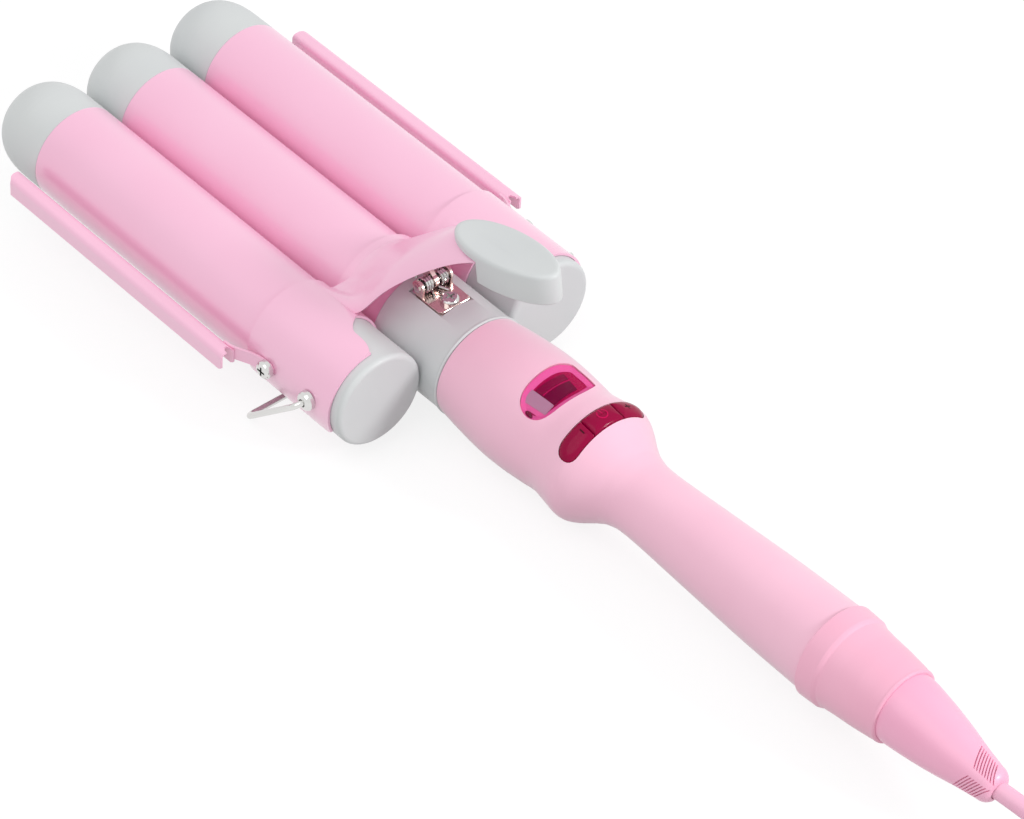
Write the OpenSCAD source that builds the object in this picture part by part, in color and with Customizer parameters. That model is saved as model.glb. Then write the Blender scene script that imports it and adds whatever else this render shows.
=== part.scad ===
// Triple-barrel hair waver: three heated barrels, a sprung clamp that lifts the
// outer pair, a wire rest, a handle with a display and three keys, and a swivel
// cord.  Every piece is drawn in the tool's own frame, which has +Y along the
// centre barrel, +Z up and its origin where the neck meets the handle, and
// placed() then stands it on the surface it rests on.

/* [Barrels] */
// Diameter of each heated barrel
barrel_d = 32; // [28:1:36]
// Wall of a barrel tube
barrel_wall = 1.1; // [0.8:0.1:1.6]
// Distance between neighbouring barrel axes
barrel_pitch = 33.6; // [33.4:0.1:34.4]
// Height of the outer pair of axes above the centre one
outer_lift = 0.9; // [0.5:0.1:1.2]
// Front end of the barrel tubes
tube_front = 153.5; // [120:0.5:170]
// Length of a tip cap in front of its tube
tip_len = 26.5; // [22:0.5:32]

/* [Handle] */
// Length of the gripped shell behind the neck
shell_len = 152; // [148:1:156]
// Wall of the handle shell
shell_wall = 2.2; // [1.8:0.1:2.6]
// Radius of the neck between handle and barrels
neck_r = 17.25; // [17:0.05:17.4]
// Length of the end cap behind the shell
end_cap_len = 28.6; // [27:0.2:30]
// Length of the cord boot behind the end cap
boot_len = 35.2; // [30:0.2:40]
// Angle by which the boot hangs below the handle's axis
boot_droop = 4; // [0:0.5:5]

/* [Clamp] */
// Thickness of the stamped clamp sheet
sheet_t = 0.8; // [0.7:0.1:1]
// Distance of the hinge pin in front of the handle
hinge_y = 22.9; // [22:0.1:24]
// Height of the hinge pin above the centre barrel's axis
hinge_z = 19.2; // [19:0.1:20]
// Radius of the hinge pin
hinge_pin_r = 1.25; // [1:0.05:1.4]
// Length of the thumb pad
pad_len = 42.6; // [36:0.2:46]
// Half width of the thumb pad
pad_half_w = 8.9; // [8:0.1:10]
// Slope of the thumb pad's top
pad_slope = 10.5; // [6:0.5:14]

/* [Rest] */
// Diameter of the rest's wire
rest_wire_d = 2; // [1.6:0.1:2.2]
// Length of a leg from its pivot to the crossbar
rest_leg = 30.6; // [29:0.1:34]

/* [Cord] */
// Diameter of the mains cord
cord_d = 5.7; // [5:0.1:7]
// Diameter of the coil at the middle of its turns
coil_d = 74; // [68:1:80]
// Turns side by side in the coil
coil_across = 4; // [2:1:5]
// Layers of turns in the coil
coil_layers = 2; // [1:1:3]

/* [Hidden] */
$fn = 64;

barrel_r = barrel_d / 2;
bore_r = barrel_r - barrel_wall;

// Handle outline as [distance behind the neck, radius] at its crests and waists
handle_knots = [[0, 17.3], [8, 18.35], [19, 19.3], [28, 19.3], [36, 18.7], [42, 18.2],
                [48, 19.05], [53.2, 19.75], [57, 18.4], [63, 14.7], [68, 12.5], [76, 11.6],
                [100, 12.7], [127, 14], [152, 14.6]];

// The piece rests on the bulge of its handle and on the crossbar of its wire rest
handle_curve = spline(handle_knots, 5);
bulge_r = max([for (q = handle_curve) q[1]]);
rest_r = rest_wire_d / 2;
rest_pivot = [55.4, 19.8, 1.8];
rest_angle = asin((bulge_r - rest_r + rest_pivot[2]) / rest_leg);

// Places that set the object's length
shell_end = -shell_len;
cap_end = shell_end - end_cap_len;
boot_end_r = 5.6;
boot_end = cap_end - boot_len * cos(boot_droop) - boot_end_r * sin(boot_droop);
tip_end = tube_front + tip_len;

// ---- placing helpers ----

// Stands a piece on the surface, with the middle of the object's length at y = 0
module placed() {
    translate([0, -(tip_end + boot_end) / 2, bulge_r]) children();
}

// Turns a solid drawn along +Z so that it runs along +Y
module along_y() {
    rotate([-90, 0, 0]) children();
}

// Turns a solid drawn along +Z so that it runs along +X
module along_x() {
    rotate([0, 90, 0]) children();
}

// Revolves points of [radius, y] about the Y axis
module revolved(points) {
    along_y() rotate_extrude($fn = 96) polygon(points);
}

// A round bar or bore along Y
module round_y(r, from, to) {
    translate([0, from, 0]) along_y() cylinder(r = r, h = to - from, $fn = 96);
}

// A round bar or bore along X, through a point of the YZ plane
module round_x(r, from, to, place) {
    translate([from, place[0], place[1]]) along_x() cylinder(r = r, h = to - from, $fn = 32);
}

// The right-hand piece for side 1 and its mirror image for side -1
module on_side(side) {
    mirror([side < 0 ? 1 : 0, 0, 0]) children();
}

// Moves a piece drawn about the Y axis to an outer barrel's axis
module at_barrel(side) {
    on_side(side) translate([barrel_pitch, 0, outer_lift]) children();
}

// ---- curves ----

function clamp_i(i, n) = max(0, min(n - 1, i));

// Smooth curve through a list of points: from item k towards k + 1 by the fraction f
function spline_at(p, k, f) =
    let (a = p[clamp_i(k - 1, len(p))], b = p[k], c = p[clamp_i(k + 1, len(p))],
         d = p[clamp_i(k + 2, len(p))])
    0.5 * (2 * b + (c - a) * f + (2 * a - 5 * b + 4 * c - d) * f * f
           + (3 * b - a - 3 * c + d) * f * f * f);

function spline(p, steps) = concat(
    [for (k = [0 : len(p) - 2]) for (s = [0 : steps - 1]) spline_at(p, k, s / steps)],
    [p[len(p) - 1]]);

function arc(cx, cy, r, from, to, n) =
    [for (i = [0 : n]) let (a = from + (to - from) * i / n) [cx + r * cos(a), cy + r * sin(a)]];

function reversed(p) = [for (i = [len(p) - 1 : -1 : 0]) p[i]];

// Turns points of [distance behind, radius] into [radius, y], grown by a margin
function outline_behind(p, grow) = [for (q = p) [q[1] + grow, -q[0]]];

// A closed tube of a given radius along a list of points
module swept_tube(points, r, sides) {
    n = len(points);
    rings = [for (i = [0 : n - 1])
        let (t = points[min(n - 1, i + 1)] - points[max(0, i - 1)],
             u = cross(t, abs(t[0]) > 0.9 * norm(t) ? [0, 0, 1] : [1, 0, 0]),
             a = u / norm(u), v = cross(t, a), b = v / norm(v))
        for (s = [0 : sides - 1])
            points[i] + r * (cos(360 * s / sides) * a + sin(360 * s / sides) * b)];
    polyhedron(points = rings, faces = concat(
        [[for (s = [0 : sides - 1]) s]],
        [for (i = [0 : n - 2]) for (s = [0 : sides - 1])
            let (p = i * sides + s, q = i * sides + (s + 1) % sides)
            [p, p + sides, q + sides, q]],
        [[for (s = [sides - 1 : -1 : 0]) (n - 1) * sides + s]]));
}

// ---- handle ----

// The handle's outer form as a solid, grown by a margin
module handle_form(grow) {
    revolved(concat([[0, 0]], outline_behind(handle_curve, grow), [[0, shell_end]]));
}

spigot_r = handle_knots[0][1] - shell_wall;
spigot_end = -14;
cap_spigot_r = 13.4;
cap_spigot_y = shell_end + 11;

// The shell's inside: a socket for the neck, the hollow and a socket for the end cap
module handle_bore() {
    hollow = [for (q = handle_curve)
        if (-q[0] < spigot_end && -q[0] > cap_spigot_y) [q[1] - shell_wall, -q[0]]];
    revolved(concat([[0, 1], [spigot_r, 1], [spigot_r, spigot_end]], hollow,
                    [[hollow[len(hollow) - 1][0], cap_spigot_y], [cap_spigot_r, cap_spigot_y],
                     [cap_spigot_r, shell_end - 1], [0, shell_end - 1]]));
}

// Outline of the display window in plan: blunt on the right, round on the left
window_knots = [
    [-8.1, -40.65], [-4.9, -41], [-1.6, -41.2], [1.8, -41.2], [5.2, -40.85], [9, -39.6], [9.75, -38.6],
    [9.9, -35.2], [9.7, -32], [9.4, -29.3], [6.6, -28.1], [3.3, -27.6], [-1.1, -27.7], [-5.2, -28],
    [-8, -28.35], [-10.3, -29.1], [-12, -30.5], [-13, -32.4], [-13.3, -34.4], [-13.1, -36.4],
    [-12.2, -38.4], [-10.5, -39.9], [-8.1, -40.65]];
window_curve = spline(window_knots, 2);
window_outline = [for (i = [0 : len(window_curve) - 2]) window_curve[i]];

module window_plan(gap) {
    offset(delta = gap) polygon(window_outline);
}

// The three keys share one band across the crest of the bulge
key_low = [-16, -56.8];
key_high = [14.8, -50.2];
key_end_r = 3.2;
key_split = [-6.3, 5.1];
key_gap = 0.2;
key_travel = 0.5;

module key_band_plan(gap) {
    r = key_end_r + gap;
    lo = key_low + [key_end_r, key_end_r];
    hi = key_high - [key_end_r, key_end_r];
    polygon(concat(arc(lo[0], lo[1], r, 180, 270, 6), arc(hi[0], lo[1], r, 270, 360, 6),
                   arc(hi[0], hi[1], r, 0, 90, 6), arc(lo[0], hi[1], r, 90, 180, 6)));
}

module handle_shell() {
    color("#F3C0D6") placed() difference() {
        handle_form(0);
        handle_bore();
        linear_extrude(30) window_plan(0.15);
        linear_extrude(30) key_band_plan(key_gap);
    }
}

lens_base = 11.5;

module display_lens() {
    color("#C0156A", 0.6) placed() difference() {
        intersection() {
            handle_form(0.1);
            translate([0, 0, lens_base]) linear_extrude(12) window_plan(0);
        }
        // hollow below the lens, open downwards
        intersection() {
            handle_form(-2);
            translate([0, 0, lens_base - 1]) linear_extrude(12) window_plan(-1.6);
        }
    }
}

// Heights inside the handle: the carrier's top, the board and the switches on it
board_z = 4;
board_t = 1.6;
board_top = board_z + board_t;
switch_x = [-10.1, -0.6, 8.9];
switch_y = -53.5;
switch_h = 4;

module board_carrier() {
    color("#E8E8E8") placed() {
        translate([-15, -57, board_z - 2]) cube([30, 43, 2]);
        for (s = [-1, 1])
            translate([s * 13.7 - 0.8, -57, board_z - 0.5]) cube([1.6, 43, 2.9]);
    }
}

module control_board() {
    color("#1F6B3A") placed()
        translate([-12.7, -56.8, board_z]) cube([25.4, 40, board_t]);
}

// Liquid-crystal cell on a foot, inside a bezel that the lens stands on
module display_module() {
    color("#2A2A30") placed() {
        translate([-9.5, -40, board_top]) cube([17, 11.8, lens_base - 2 - board_top]);
        translate([0, 0, lens_base - 2]) linear_extrude(0.8) window_plan(-0.3);
        translate([0, 0, lens_base - 1.3]) linear_extrude(1.3) difference() {
            window_plan(-0.3);
            window_plan(-1.6);
        }
    }
}

module key_switches() {
    color("#202020") placed() for (x = switch_x)
        translate([x, switch_y, board_top]) {
            translate([-2.25, -2.25, 0]) cube([4.5, 4.5, switch_h - 1]);
            cylinder(r = 1.2, h = switch_h, $fn = 32);
        }
}

// One key: its part of the band, standing a little proud, on a stem
module key(x_from, x_to, stem_x) {
    stem = 3;
    under = 2.4;
    stem_base = board_top + switch_h + key_travel + 0.05;
    stem_top = sqrt(pow(bulge_r - under, 2) - pow(max(0, abs(stem_x) - stem / 2), 2)) + 0.5;
    intersection() {
        difference() {
            handle_form(0.35);
            handle_form(-under);
        }
        intersection() {
            linear_extrude(30) key_band_plan(0);
            translate([x_from, -60, 0]) cube([x_to - x_from, 12, 30]);
        }
    }
    translate([stem_x - stem / 2, switch_y - stem / 2, stem_base]) cube([stem, stem, stem_top - stem_base]);
}

module minus_key() {
    color("#8B0A3A") placed() key(key_low[0] - 1, key_split[0] - key_gap / 2, switch_x[0]);
}

module power_key() {
    color("#8B0A3A") placed() key(key_split[0] + key_gap / 2, key_split[1] - key_gap / 2, switch_x[1]);
}

module plus_key() {
    color("#8B0A3A") placed() key(key_split[1] + key_gap / 2, key_high[0] + 1, switch_x[2]);
}

// ---- neck and hinge ----

neck_front = 30.6;
socket_y = 24;
seat_z = 15.2;
seat_y = [11.4, 26.4];
screw_y = 15;
lead_r = 9;

module neck() {
    color("#CFD2D2") placed() difference() {
        union() {
            difference() {
                revolved(concat(
                    [[0, spigot_end], [spigot_r, spigot_end], [spigot_r, 0]],
                    arc(neck_r - 0.5, 0.5, 0.5, -90, 0, 4),
                    arc(neck_r - 0.8, neck_front - 0.8, 0.8, 0, 90, 4),
                    [[0, neck_front]]));
                round_y(barrel_r, socket_y, neck_front + 1);
            }
            round_y(bore_r, socket_y - 2, neck_front + 10);
        }
        // way for the heater leads
        round_y(lead_r, spigot_end - 1, neck_front + 11);
        // seat of the hinge plate, and room for the spring in front of it
        translate([-6.4, seat_y[0], seat_z]) cube([12.8, seat_y[1] - seat_y[0], 10]);
        // pilot hole of the hinge screw
        translate([0, screw_y, lead_r - 1]) cylinder(r = 1.3, h = 10, $fn = 32);
    }
}

plate_t = 1.2;
plate_half = 6.1;
ear_t = 1;
ear_r = 2.5;
plate_top = seat_z + plate_t;

// A round ear about the pin that runs down into the plate
module hinge_ear() {
    translate([0, hinge_y, hinge_z]) along_x() cylinder(r = ear_r, h = ear_t, $fn = 48);
    translate([0, hinge_y - 2.3, seat_z + plate_t / 2])
        cube([ear_t, 2.9, hinge_z - seat_z - plate_t / 2]);
}

module hinge_base() {
    color("#C9C4BE") placed() difference() {
        union() {
            translate([-plate_half, 11.8, seat_z]) cube([2 * plate_half, 11.7, plate_t]);
            for (m = [-1, 1])
                on_side(m) translate([plate_half - ear_t, 0, 0]) hinge_ear();
        }
        translate([0, screw_y, seat_z - 1]) cylinder(r = 1.5, h = 5, $fn = 32);
        round_x(hinge_pin_r, -10, 10, [hinge_y, hinge_z]);
    }
}

module hinge_pin() {
    color("#D8D8D8") placed()
        round_x(hinge_pin_r, -plate_half - 0.4, plate_half + 0.4, [hinge_y, hinge_z]);
}

// A pan head on the plane z = 0 with a cross recess
module pan_head(r, h) {
    rim = h * 0.45;
    difference() {
        rotate_extrude($fn = 48)
            polygon(concat([[0, 0], [r, 0], [r, rim]], arc(r - h * 0.5, rim, h * 0.5, 15, 90, 5),
                           [[0, rim + h * 0.5]]));
        for (a = [0, 90])
            rotate([0, 0, a]) translate([-r * 0.55, -0.35, h * 0.4]) cube([r * 1.1, 0.7, 2]);
    }
}

module hinge_screw() {
    color("#D8D8D8") placed() translate([0, screw_y, 0]) {
        translate([0, 0, plate_top]) pan_head(2.9, 2.1);
        translate([0, 0, 9.5]) cylinder(r = 1.3, h = plate_top - 9.5 + 0.2, $fn = 32);
    }
}

// Two coils about the hinge pin, each with a leg on the plate and a leg under the clamp
spring_wire_r = 0.42;
spring_coil_r = 2.25;
spring_turns = 3.25;
spring_inner = 1.4;
spring_outer = 4.4;

function coil_at(turn) = [
    spring_inner + (spring_outer - spring_inner) * turn / spring_turns,
    hinge_y + spring_coil_r * sin(360 * turn),
    hinge_z - spring_coil_r * cos(360 * turn)];

module clamp_spring() {
    steps = 12;
    plate_leg = [[2.9, hinge_y - 4.3, plate_top + spring_wire_r + 0.05],
                 [spring_inner, hinge_y - 1.4, plate_top + spring_wire_r + 0.12]];
    clamp_leg = [[4.4, hinge_y + 3, hinge_z + 4], [4.3, hinge_y + 6, hinge_z + 10]];
    color("#CFCFCF") placed() for (m = [-1, 1]) on_side(m)
        swept_tube(concat(plate_leg, [for (i = [0 : steps * spring_turns]) coil_at(i / steps)],
                          clamp_leg), spring_wire_r, 8);
}

// ---- barrels ----

outer_rear = 30;
plug_len = 14;

module tube(rear) {
    difference() {
        round_y(barrel_r, rear, tube_front);
        round_y(bore_r, rear - 1, tube_front + 1);
    }
}

// Quarter of a rounded square end, from the cylinder's edge to the tip
tip_power = 2.6;

function dome(r, y0, h, n) = [for (i = [0 : n]) let (a = 90 * i / n)
    [i == n ? 0 : r * pow(cos(a), 2 / tip_power), y0 + h * pow(sin(a), 2 / tip_power)]];

tip_shoulder = 8.5;
tip_wall = 2.4;

module tip_cap() {
    color("#CDD1D1") difference() {
        revolved(concat(
            [[0, tube_front - 9], [bore_r, tube_front - 9], [bore_r, tube_front],
             [barrel_r - 0.3, tube_front], [barrel_r, tube_front + 0.3]],
            dome(barrel_r, tube_front + tip_shoulder, tip_len - tip_shoulder, 16)));
        revolved(concat([[0, tube_front - 10], [bore_r - tip_wall, tube_front - 10]],
            dome(bore_r - tip_wall, tube_front + tip_shoulder, tip_len - tip_shoulder - tip_wall, 10)));
    }
}

rear_cap_y = 6.8;
guard_screw = [38.2, 1.6];
screw_r = 1.45;
bush_r = 1.6;

module rear_cap() {
    edge = 1.6;
    hollow_r = 11.5;
    floor_t = 5.5;
    color("#DADADA") difference() {
        revolved(concat(
            [[0, rear_cap_y]], arc(barrel_r - edge, rear_cap_y + edge, edge, -90, 0, 6),
            [[barrel_r, outer_rear], [bore_r, outer_rear], [bore_r, outer_rear + plug_len],
             [hollow_r, outer_rear + plug_len], [hollow_r, rear_cap_y + floor_t],
             [0, rear_cap_y + floor_t]]));
        round_x(bush_r, 0, 20, [rest_pivot[1], rest_pivot[2] - outer_lift]);
        round_x(screw_r, 0, 20, [guard_screw[0], guard_screw[1] - outer_lift]);
    }
}

module outer_tube() {
    difference() {
        tube(outer_rear);
        round_x(screw_r, 0, 20, [guard_screw[0], guard_screw[1] - outer_lift]);
    }
}

// Ceramic heater plate between two spreaders that press on the tube
heater_y = [64, 120];

module heater() {
    plate = 1.4;
    color("#E9E4D8") translate([-8, heater_y[0] - 3, -plate])
        cube([16, heater_y[1] - heater_y[0] + 6, 2 * plate]);
    color("#B8BBBE") for (m = [0, 1]) mirror([0, 0, m]) {
        intersection() {
            difference() {
                round_y(bore_r, heater_y[0], heater_y[1]);
                round_y(bore_r - 1, heater_y[0] - 1, heater_y[1] + 1);
            }
            translate([-20, heater_y[0] - 1, plate + 0.5]) cube([40, heater_y[1] - heater_y[0] + 2, 20]);
        }
        translate([-14, heater_y[0], plate]) cube([28, heater_y[1] - heater_y[0], 1]);
    }
}

module center_barrel() { color("#F0C8E0") placed() tube(socket_y); }
module left_barrel() { color("#F0C8E0") placed() at_barrel(-1) outer_tube(); }
module right_barrel() { color("#F0C8E0") placed() at_barrel(1) outer_tube(); }
module center_tip_cap() { placed() tip_cap(); }
module left_tip_cap() { placed() at_barrel(-1) tip_cap(); }
module right_tip_cap() { placed() at_barrel(1) tip_cap(); }
module left_rear_cap() { placed() at_barrel(-1) rear_cap(); }
module right_rear_cap() { placed() at_barrel(1) rear_cap(); }
module center_heater() { placed() heater(); }
module left_heater() { placed() at_barrel(-1) heater(); }
module right_heater() { placed() at_barrel(1) heater(); }

// ---- clamp bracket ----

sleeve_front = 48.4;
sleeve_rear = 10.8;
sleeve_in = barrel_r + 0.15;
sleeve_out = sleeve_in + sheet_t;
side_x = barrel_pitch + sleeve_out;
band_rear = 43.5;
band_in = barrel_r + 1;
band_out = band_in + sheet_t;
valley = 11.5;

// Sleeve about the right-hand barrel's own axis, open below on its inner side
module sleeve() {
    difference() {
        round_y(sleeve_out, sleeve_rear, sleeve_front);
        round_y(sleeve_in, sleeve_rear - 1, sleeve_front + 1);
        // slot from the underside round to the valley between the barrels
        translate([-33, 0, -30]) cube([30, 60, 33.5]);
        // step that shows the rear cap
        linear_extrude(30) polygon([[0.9, 0], [0.9, 11.4], [0.2, 12.4], [-0.6, 14.4], [-1.1, 17.5],
                                    [-1.3, 22], [-7.6, 27.6], [-30, 27.6], [-30, 0]]);
        // rounded lower corner at the rear
        translate([-4, 0, 0]) along_x() linear_extrude(34) polygon([
            [6.2, 0], [6.6, 10.9], [7.6, 12.2], [9.2, 13.6], [11.6, 15.2], [14.4, 17.6], [30, 20], [30, 0]]);
    }
    // dimple that keeps the wire rest off the sleeve
    translate([sleeve_out - 0.85, 31.8, -3.8]) along_x() cylinder(r1 = 1.3, r2 = 0.8, h = 1.3, $fn = 32);
}

// Part of the bracket that hugs the top of the centre barrel
module center_band() {
    intersection() {
        difference() {
            round_y(band_out, band_rear, sleeve_front);
            round_y(band_in, band_rear - 1, sleeve_front + 1);
        }
        translate([-30, 0, 7.5]) cube([60, 60, 30]);
    }
}

// Crown of the arch and its left free edge, from the band back to the tongue's end
crown_knots = [[45.6, 17.1], [42, 19.8], [37, 24.8], [32, 29.6], [26, 35.2], [20, 40.6],
               [14, 45.1], [8, 47.2], [-1, 48.9], [-6, 49.85], [-14, 51.3], [-22, 52.8]];
edge_knots = [[25.8, 45.6, 14], [25.8, 42, 14], [25.8, 36, 14], [25.6, 29.5, 14.3], [21.3, 23.8, 24],
              [15.9, 17, 32.1], [12.4, 10, 38.9], [9.6, 4, 43.6], [8.2, -2.5, 48],
              [6.5, -6, 49.6], [6, -14, 51.1], [5.4, -22, 52.6]];
// How far each station still follows the barrels below it
follow_knots = [1, 1, 0.85, 0.4, 0.05, 0, 0, 0, 0, 0, 0, 0];
arch_steps = 2;
arch_half = 10;

// Height of a circle's upper half over a distance from its centre, else a low value
function over(r, d) = abs(d) < r ? sqrt(r * r - d * d) : 0;

// Height of the sheet where it lies over the barrels: band, valley floor or sleeve
function valley_z(x) = max(valley, over(band_in, x), outer_lift + over(sleeve_in, barrel_pitch - abs(x)));

crown = spline(crown_knots, arch_steps);
edge = spline(edge_knots, arch_steps);
follow = spline(follow_knots, arch_steps);

// A point of the arch: station i along it, a from -1 at the left edge to 1 at the right
function arch_point(i, a) =
    let (c = cos(90 * a), e = edge[i], k = crown[i], w = max(0, min(1, follow[i])),
         x = e[0] * sin(90 * a), f = pow(c, 1.3),
         low = valley_z(x) + (k[1] - band_in) * c * c, free = e[2] + (k[1] - e[2]) * f)
    [x, e[1] + (k[0] - e[1]) * f, low * w + free * (1 - w)];

arch_rows = len(crown);
arch_cols = 2 * arch_half + 1;
arch_top = [for (i = [0 : arch_rows - 1]) [for (j = [-arch_half : arch_half]) arch_point(i, j / arch_half)]];

function arch_normal(i, j) =
    let (u = arch_top[min(arch_rows - 1, i + 1)][j] - arch_top[max(0, i - 1)][j],
         v = arch_top[i][min(arch_cols - 1, j + 1)] - arch_top[i][max(0, j - 1)],
         n = cross(u, v))
    (n[2] < 0 ? -n : n) / norm(n);

// Two quads' worth of triangles between neighbouring rows of a skin
function quad(p, q, r, s) = [[p, q, r], [p, r, s]];

module arch() {
    w = arch_cols;
    half = arch_rows * w;
    last = (arch_rows - 1) * w;
    outer = [for (i = [0 : arch_rows - 1]) for (j = [0 : w - 1]) arch_top[i][j]];
    inner = [for (i = [0 : arch_rows - 1]) for (j = [0 : w - 1])
        arch_top[i][j] - sheet_t * arch_normal(i, j)];
    polyhedron(points = concat(outer, inner), faces = concat(
        [for (i = [0 : arch_rows - 2]) for (j = [0 : w - 2]) let (p = i * w + j)
            each quad(p, p + 1, p + w + 1, p + w)],
        [for (i = [0 : arch_rows - 2]) for (j = [0 : w - 2]) let (p = half + i * w + j)
            each quad(p + w, p + w + 1, p + 1, p)],
        [for (i = [0 : arch_rows - 2]) let (p = i * w) each quad(p + w, half + p + w, half + p, p)],
        [for (i = [0 : arch_rows - 2]) let (p = i * w + w - 1)
            each quad(p, half + p, half + p + w, p + w)],
        [for (j = [0 : w - 2]) each quad(j + 1, j, half + j, half + j + 1)],
        [for (j = [0 : w - 2]) let (p = last + j) each quad(p, p + 1, half + p + 1, half + p)]));
}

module clamp_bracket() {
    color("#EDC3DD") placed() difference() {
        union() {
            for (m = [-1, 1]) at_barrel(m) sleeve();
            center_band();
            // the arch ends inside the walls of the sleeves and the band
            difference() {
                arch();
                for (m = [-1, 1]) at_barrel(m) round_y(sleeve_in + sheet_t / 2, 0, 60);
                round_y(band_in + sheet_t / 2, 0, 60);
            }
        }
        for (m = [-1, 1]) on_side(m) {
            round_x(screw_r, barrel_pitch, 60, guard_screw);
            round_x(bush_r, barrel_pitch, 60, [rest_pivot[1], rest_pivot[2]]);
        }
    }
}

// Leaf under the arch that carries the moving knuckle of the hinge
leaf_slope = 38;

module hinge_leaf() {
    color("#C9C4BE") placed() difference() {
        translate([0, hinge_y, hinge_z]) {
            translate([-0.75, 0, 0]) along_x() cylinder(r = 2.2, h = 1.5, $fn = 32);
            rotate([leaf_slope, 0, 0]) {
                translate([-0.75, 0, -2]) cube([1.5, 12, 4]);
                translate([-3.2, 11.2, -3.6]) rotate([6, 0, 0]) cube([6.4, 0.9, 7.2]);
            }
        }
        round_x(hinge_pin_r + 0.05, -5, 5, [hinge_y, hinge_z]);
    }
}

// ---- thumb pad ----

pad_front = [12.6, 49.5];
pad_lip = 3;
pad_skirt = 10;
pad_skirt_from = 16.5;

// Egg-shaped outline of the pad, from its front end backwards
pad_outline = [for (i = [0 : 47]) let (a = 7.5 * i)
    [pad_half_w * sin(a) * (1 + 0.05 * cos(a)), -pad_len / 2 * (1 - cos(a))]];

// Long shallow hollow for the thumb
module thumb_dish() {
    r = 40;
    depth = 0.7;
    straight = 21;
    translate([0, -(pad_len + straight) / 2, r - depth]) {
        along_y() cylinder(r = r, h = straight, $fn = 96);
        for (y = [0, straight]) translate([0, y, 0]) sphere(r = r, $fn = 96);
    }
}

module thumb_pad() {
    color("#D3D6D6") placed() translate([0, pad_front[0], pad_front[1]]) rotate([-pad_slope, 0, 0])
        difference() {
            union() {
                translate([0, 0, -pad_lip]) linear_extrude(pad_lip) polygon(pad_outline);
                intersection() {
                    translate([0, 0, -pad_skirt]) linear_extrude(pad_skirt) polygon(pad_outline);
                    translate([-20, -pad_len - 5, -20]) cube([40, pad_len + 5 - pad_skirt_from, 30]);
                }
            }
            thumb_dish();
            // slot that takes the clamp's tongue, wider where the tongue comes in
            translate([0, 0, -pad_lip - 1.5]) linear_extrude(1.5) polygon([
                [-5.7, -35.2], [5.7, -35.2], [6.9, -26], [6.9, -8], [-6.9, -8], [-6.9, -26]]);
            translate([-8.4, -19.6, -pad_lip - 2.8]) cube([16.8, 10, 2.8]);
        }
}

// ---- guards ----

guard_y = [49.4, 154.6];
guard_x = [54.6, 59.9];
guard_z = [-2.4, 3.7];
guard_bend = 1.6;
guard_t = 0.7;

// One face of the bent strip's section, its top web between two flanges
function channel(t) = concat(
    [[guard_x[0] + t, guard_z[0]]],
    arc(guard_x[0] + guard_bend, guard_z[1] - guard_bend, guard_bend - t, 180, 90, 5),
    arc(guard_x[1] - guard_bend, guard_z[1] - guard_bend, guard_bend - t, 90, 0, 5),
    [[guard_x[1] - t, guard_z[0]]]);

// Line of the tab in plan, from the sleeve out to the strip's inner flange
function joggle(t) = [for (q = [[0, 34], [0, 40.6], [0.35, 42.6], [1.2, 45], [2.4, 47.6], [3.4, 49.8],
                                [3.9, 51.6], [4.05, 54]])
    [side_x + q[0] + t, q[1]]];

module guard() {
    difference() {
        translate([0, guard_y[1], 0]) rotate([90, 0, 0])
            linear_extrude(guard_y[1] - guard_y[0]) polygon(concat(channel(0), reversed(channel(guard_t))));
        // notch that parts the web from the flange leading to the screw
        translate([guard_x[0], 0, 1]) linear_extrude(5)
            polygon([[0.9, 48], [1, 50.4], [1.6, 51.6], [2.3, 51.6], [3.1, 50.2], [3.2, 48]]);
        // lower corner of the outer flange
        translate([50, 0, 0]) along_x() linear_extrude(20)
            polygon([[0.8, 48], [3, 51.5], [3, 48]]);
        // rounded corner of the web at the front
        translate([guard_x[1], 0, -4]) linear_extrude(10)
            polygon([[1, 152.4], [-0.3, 153], [-1.2, 154], [-2.6, 154.7], [-2.6, 156], [1, 156]]);
    }
    // tab that joggles in from the inner flange to the sleeve's screw
    difference() {
        intersection() {
            translate([0, 0, -1]) linear_extrude(4.7) polygon(concat(
                joggle(0), reversed(joggle(guard_t))));
            translate([40, 0, 0]) along_x() linear_extrude(30) polygon(concat(
                arc(-guard_screw[1], guard_screw[0], 2.5, 180, 360, 8),
                [[-guard_screw[1] + 2.5, 60], [-guard_screw[1] - 2.5, 60]]));
        }
        round_x(screw_r, 40, 70, guard_screw);
    }
}

module right_guard() { color("#F3CCE0") placed() guard(); }
module left_guard() { color("#F3CCE0") placed() on_side(-1) guard(); }

module guard_screws() {
    color("#D8D8D8") placed() for (m = [-1, 1]) on_side(m) {
        translate([side_x + guard_t, guard_screw[0], guard_screw[1]]) along_x() pan_head(2.95, 2.6);
        round_x(screw_r, side_x - 6.5, side_x + guard_t + 0.2, guard_screw);
    }
}

module rest_bushes() {
    head = 3.2;
    head_h = 2.6;
    color("#D8D8D8") placed() for (m = [-1, 1]) on_side(m)
        translate([side_x, rest_pivot[1], rest_pivot[2]]) along_x() difference() {
            union() {
                rotate_extrude($fn = 48) polygon(concat([[0, 0], [head, 0]],
                    arc(head - head_h * 0.7, head_h * 0.3, head_h * 0.7, 15, 90, 5), [[0, head_h]]));
                translate([0, 0, -4.6]) cylinder(r = bush_r, h = 5, $fn = 32);
            }
            translate([0, 0, -5]) cylinder(r = rest_r + 0.05, h = 9, $fn = 32);
            // mouth of the bore, where the wire starts its bend
            translate([0, 0, head_h - 1]) cylinder(r1 = rest_r + 0.05, r2 = rest_r + 0.35, h = 1.05, $fn = 32);
        }
}

// ---- wire rest ----

rest_bend = 3;

// Quarter bend of the wire about the origin, from +X round to +Y
module wire_bend() {
    rotate_extrude(angle = 90, $fn = 64) translate([rest_bend, 0]) circle(r = rest_r, $fn = 32);
}

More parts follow.
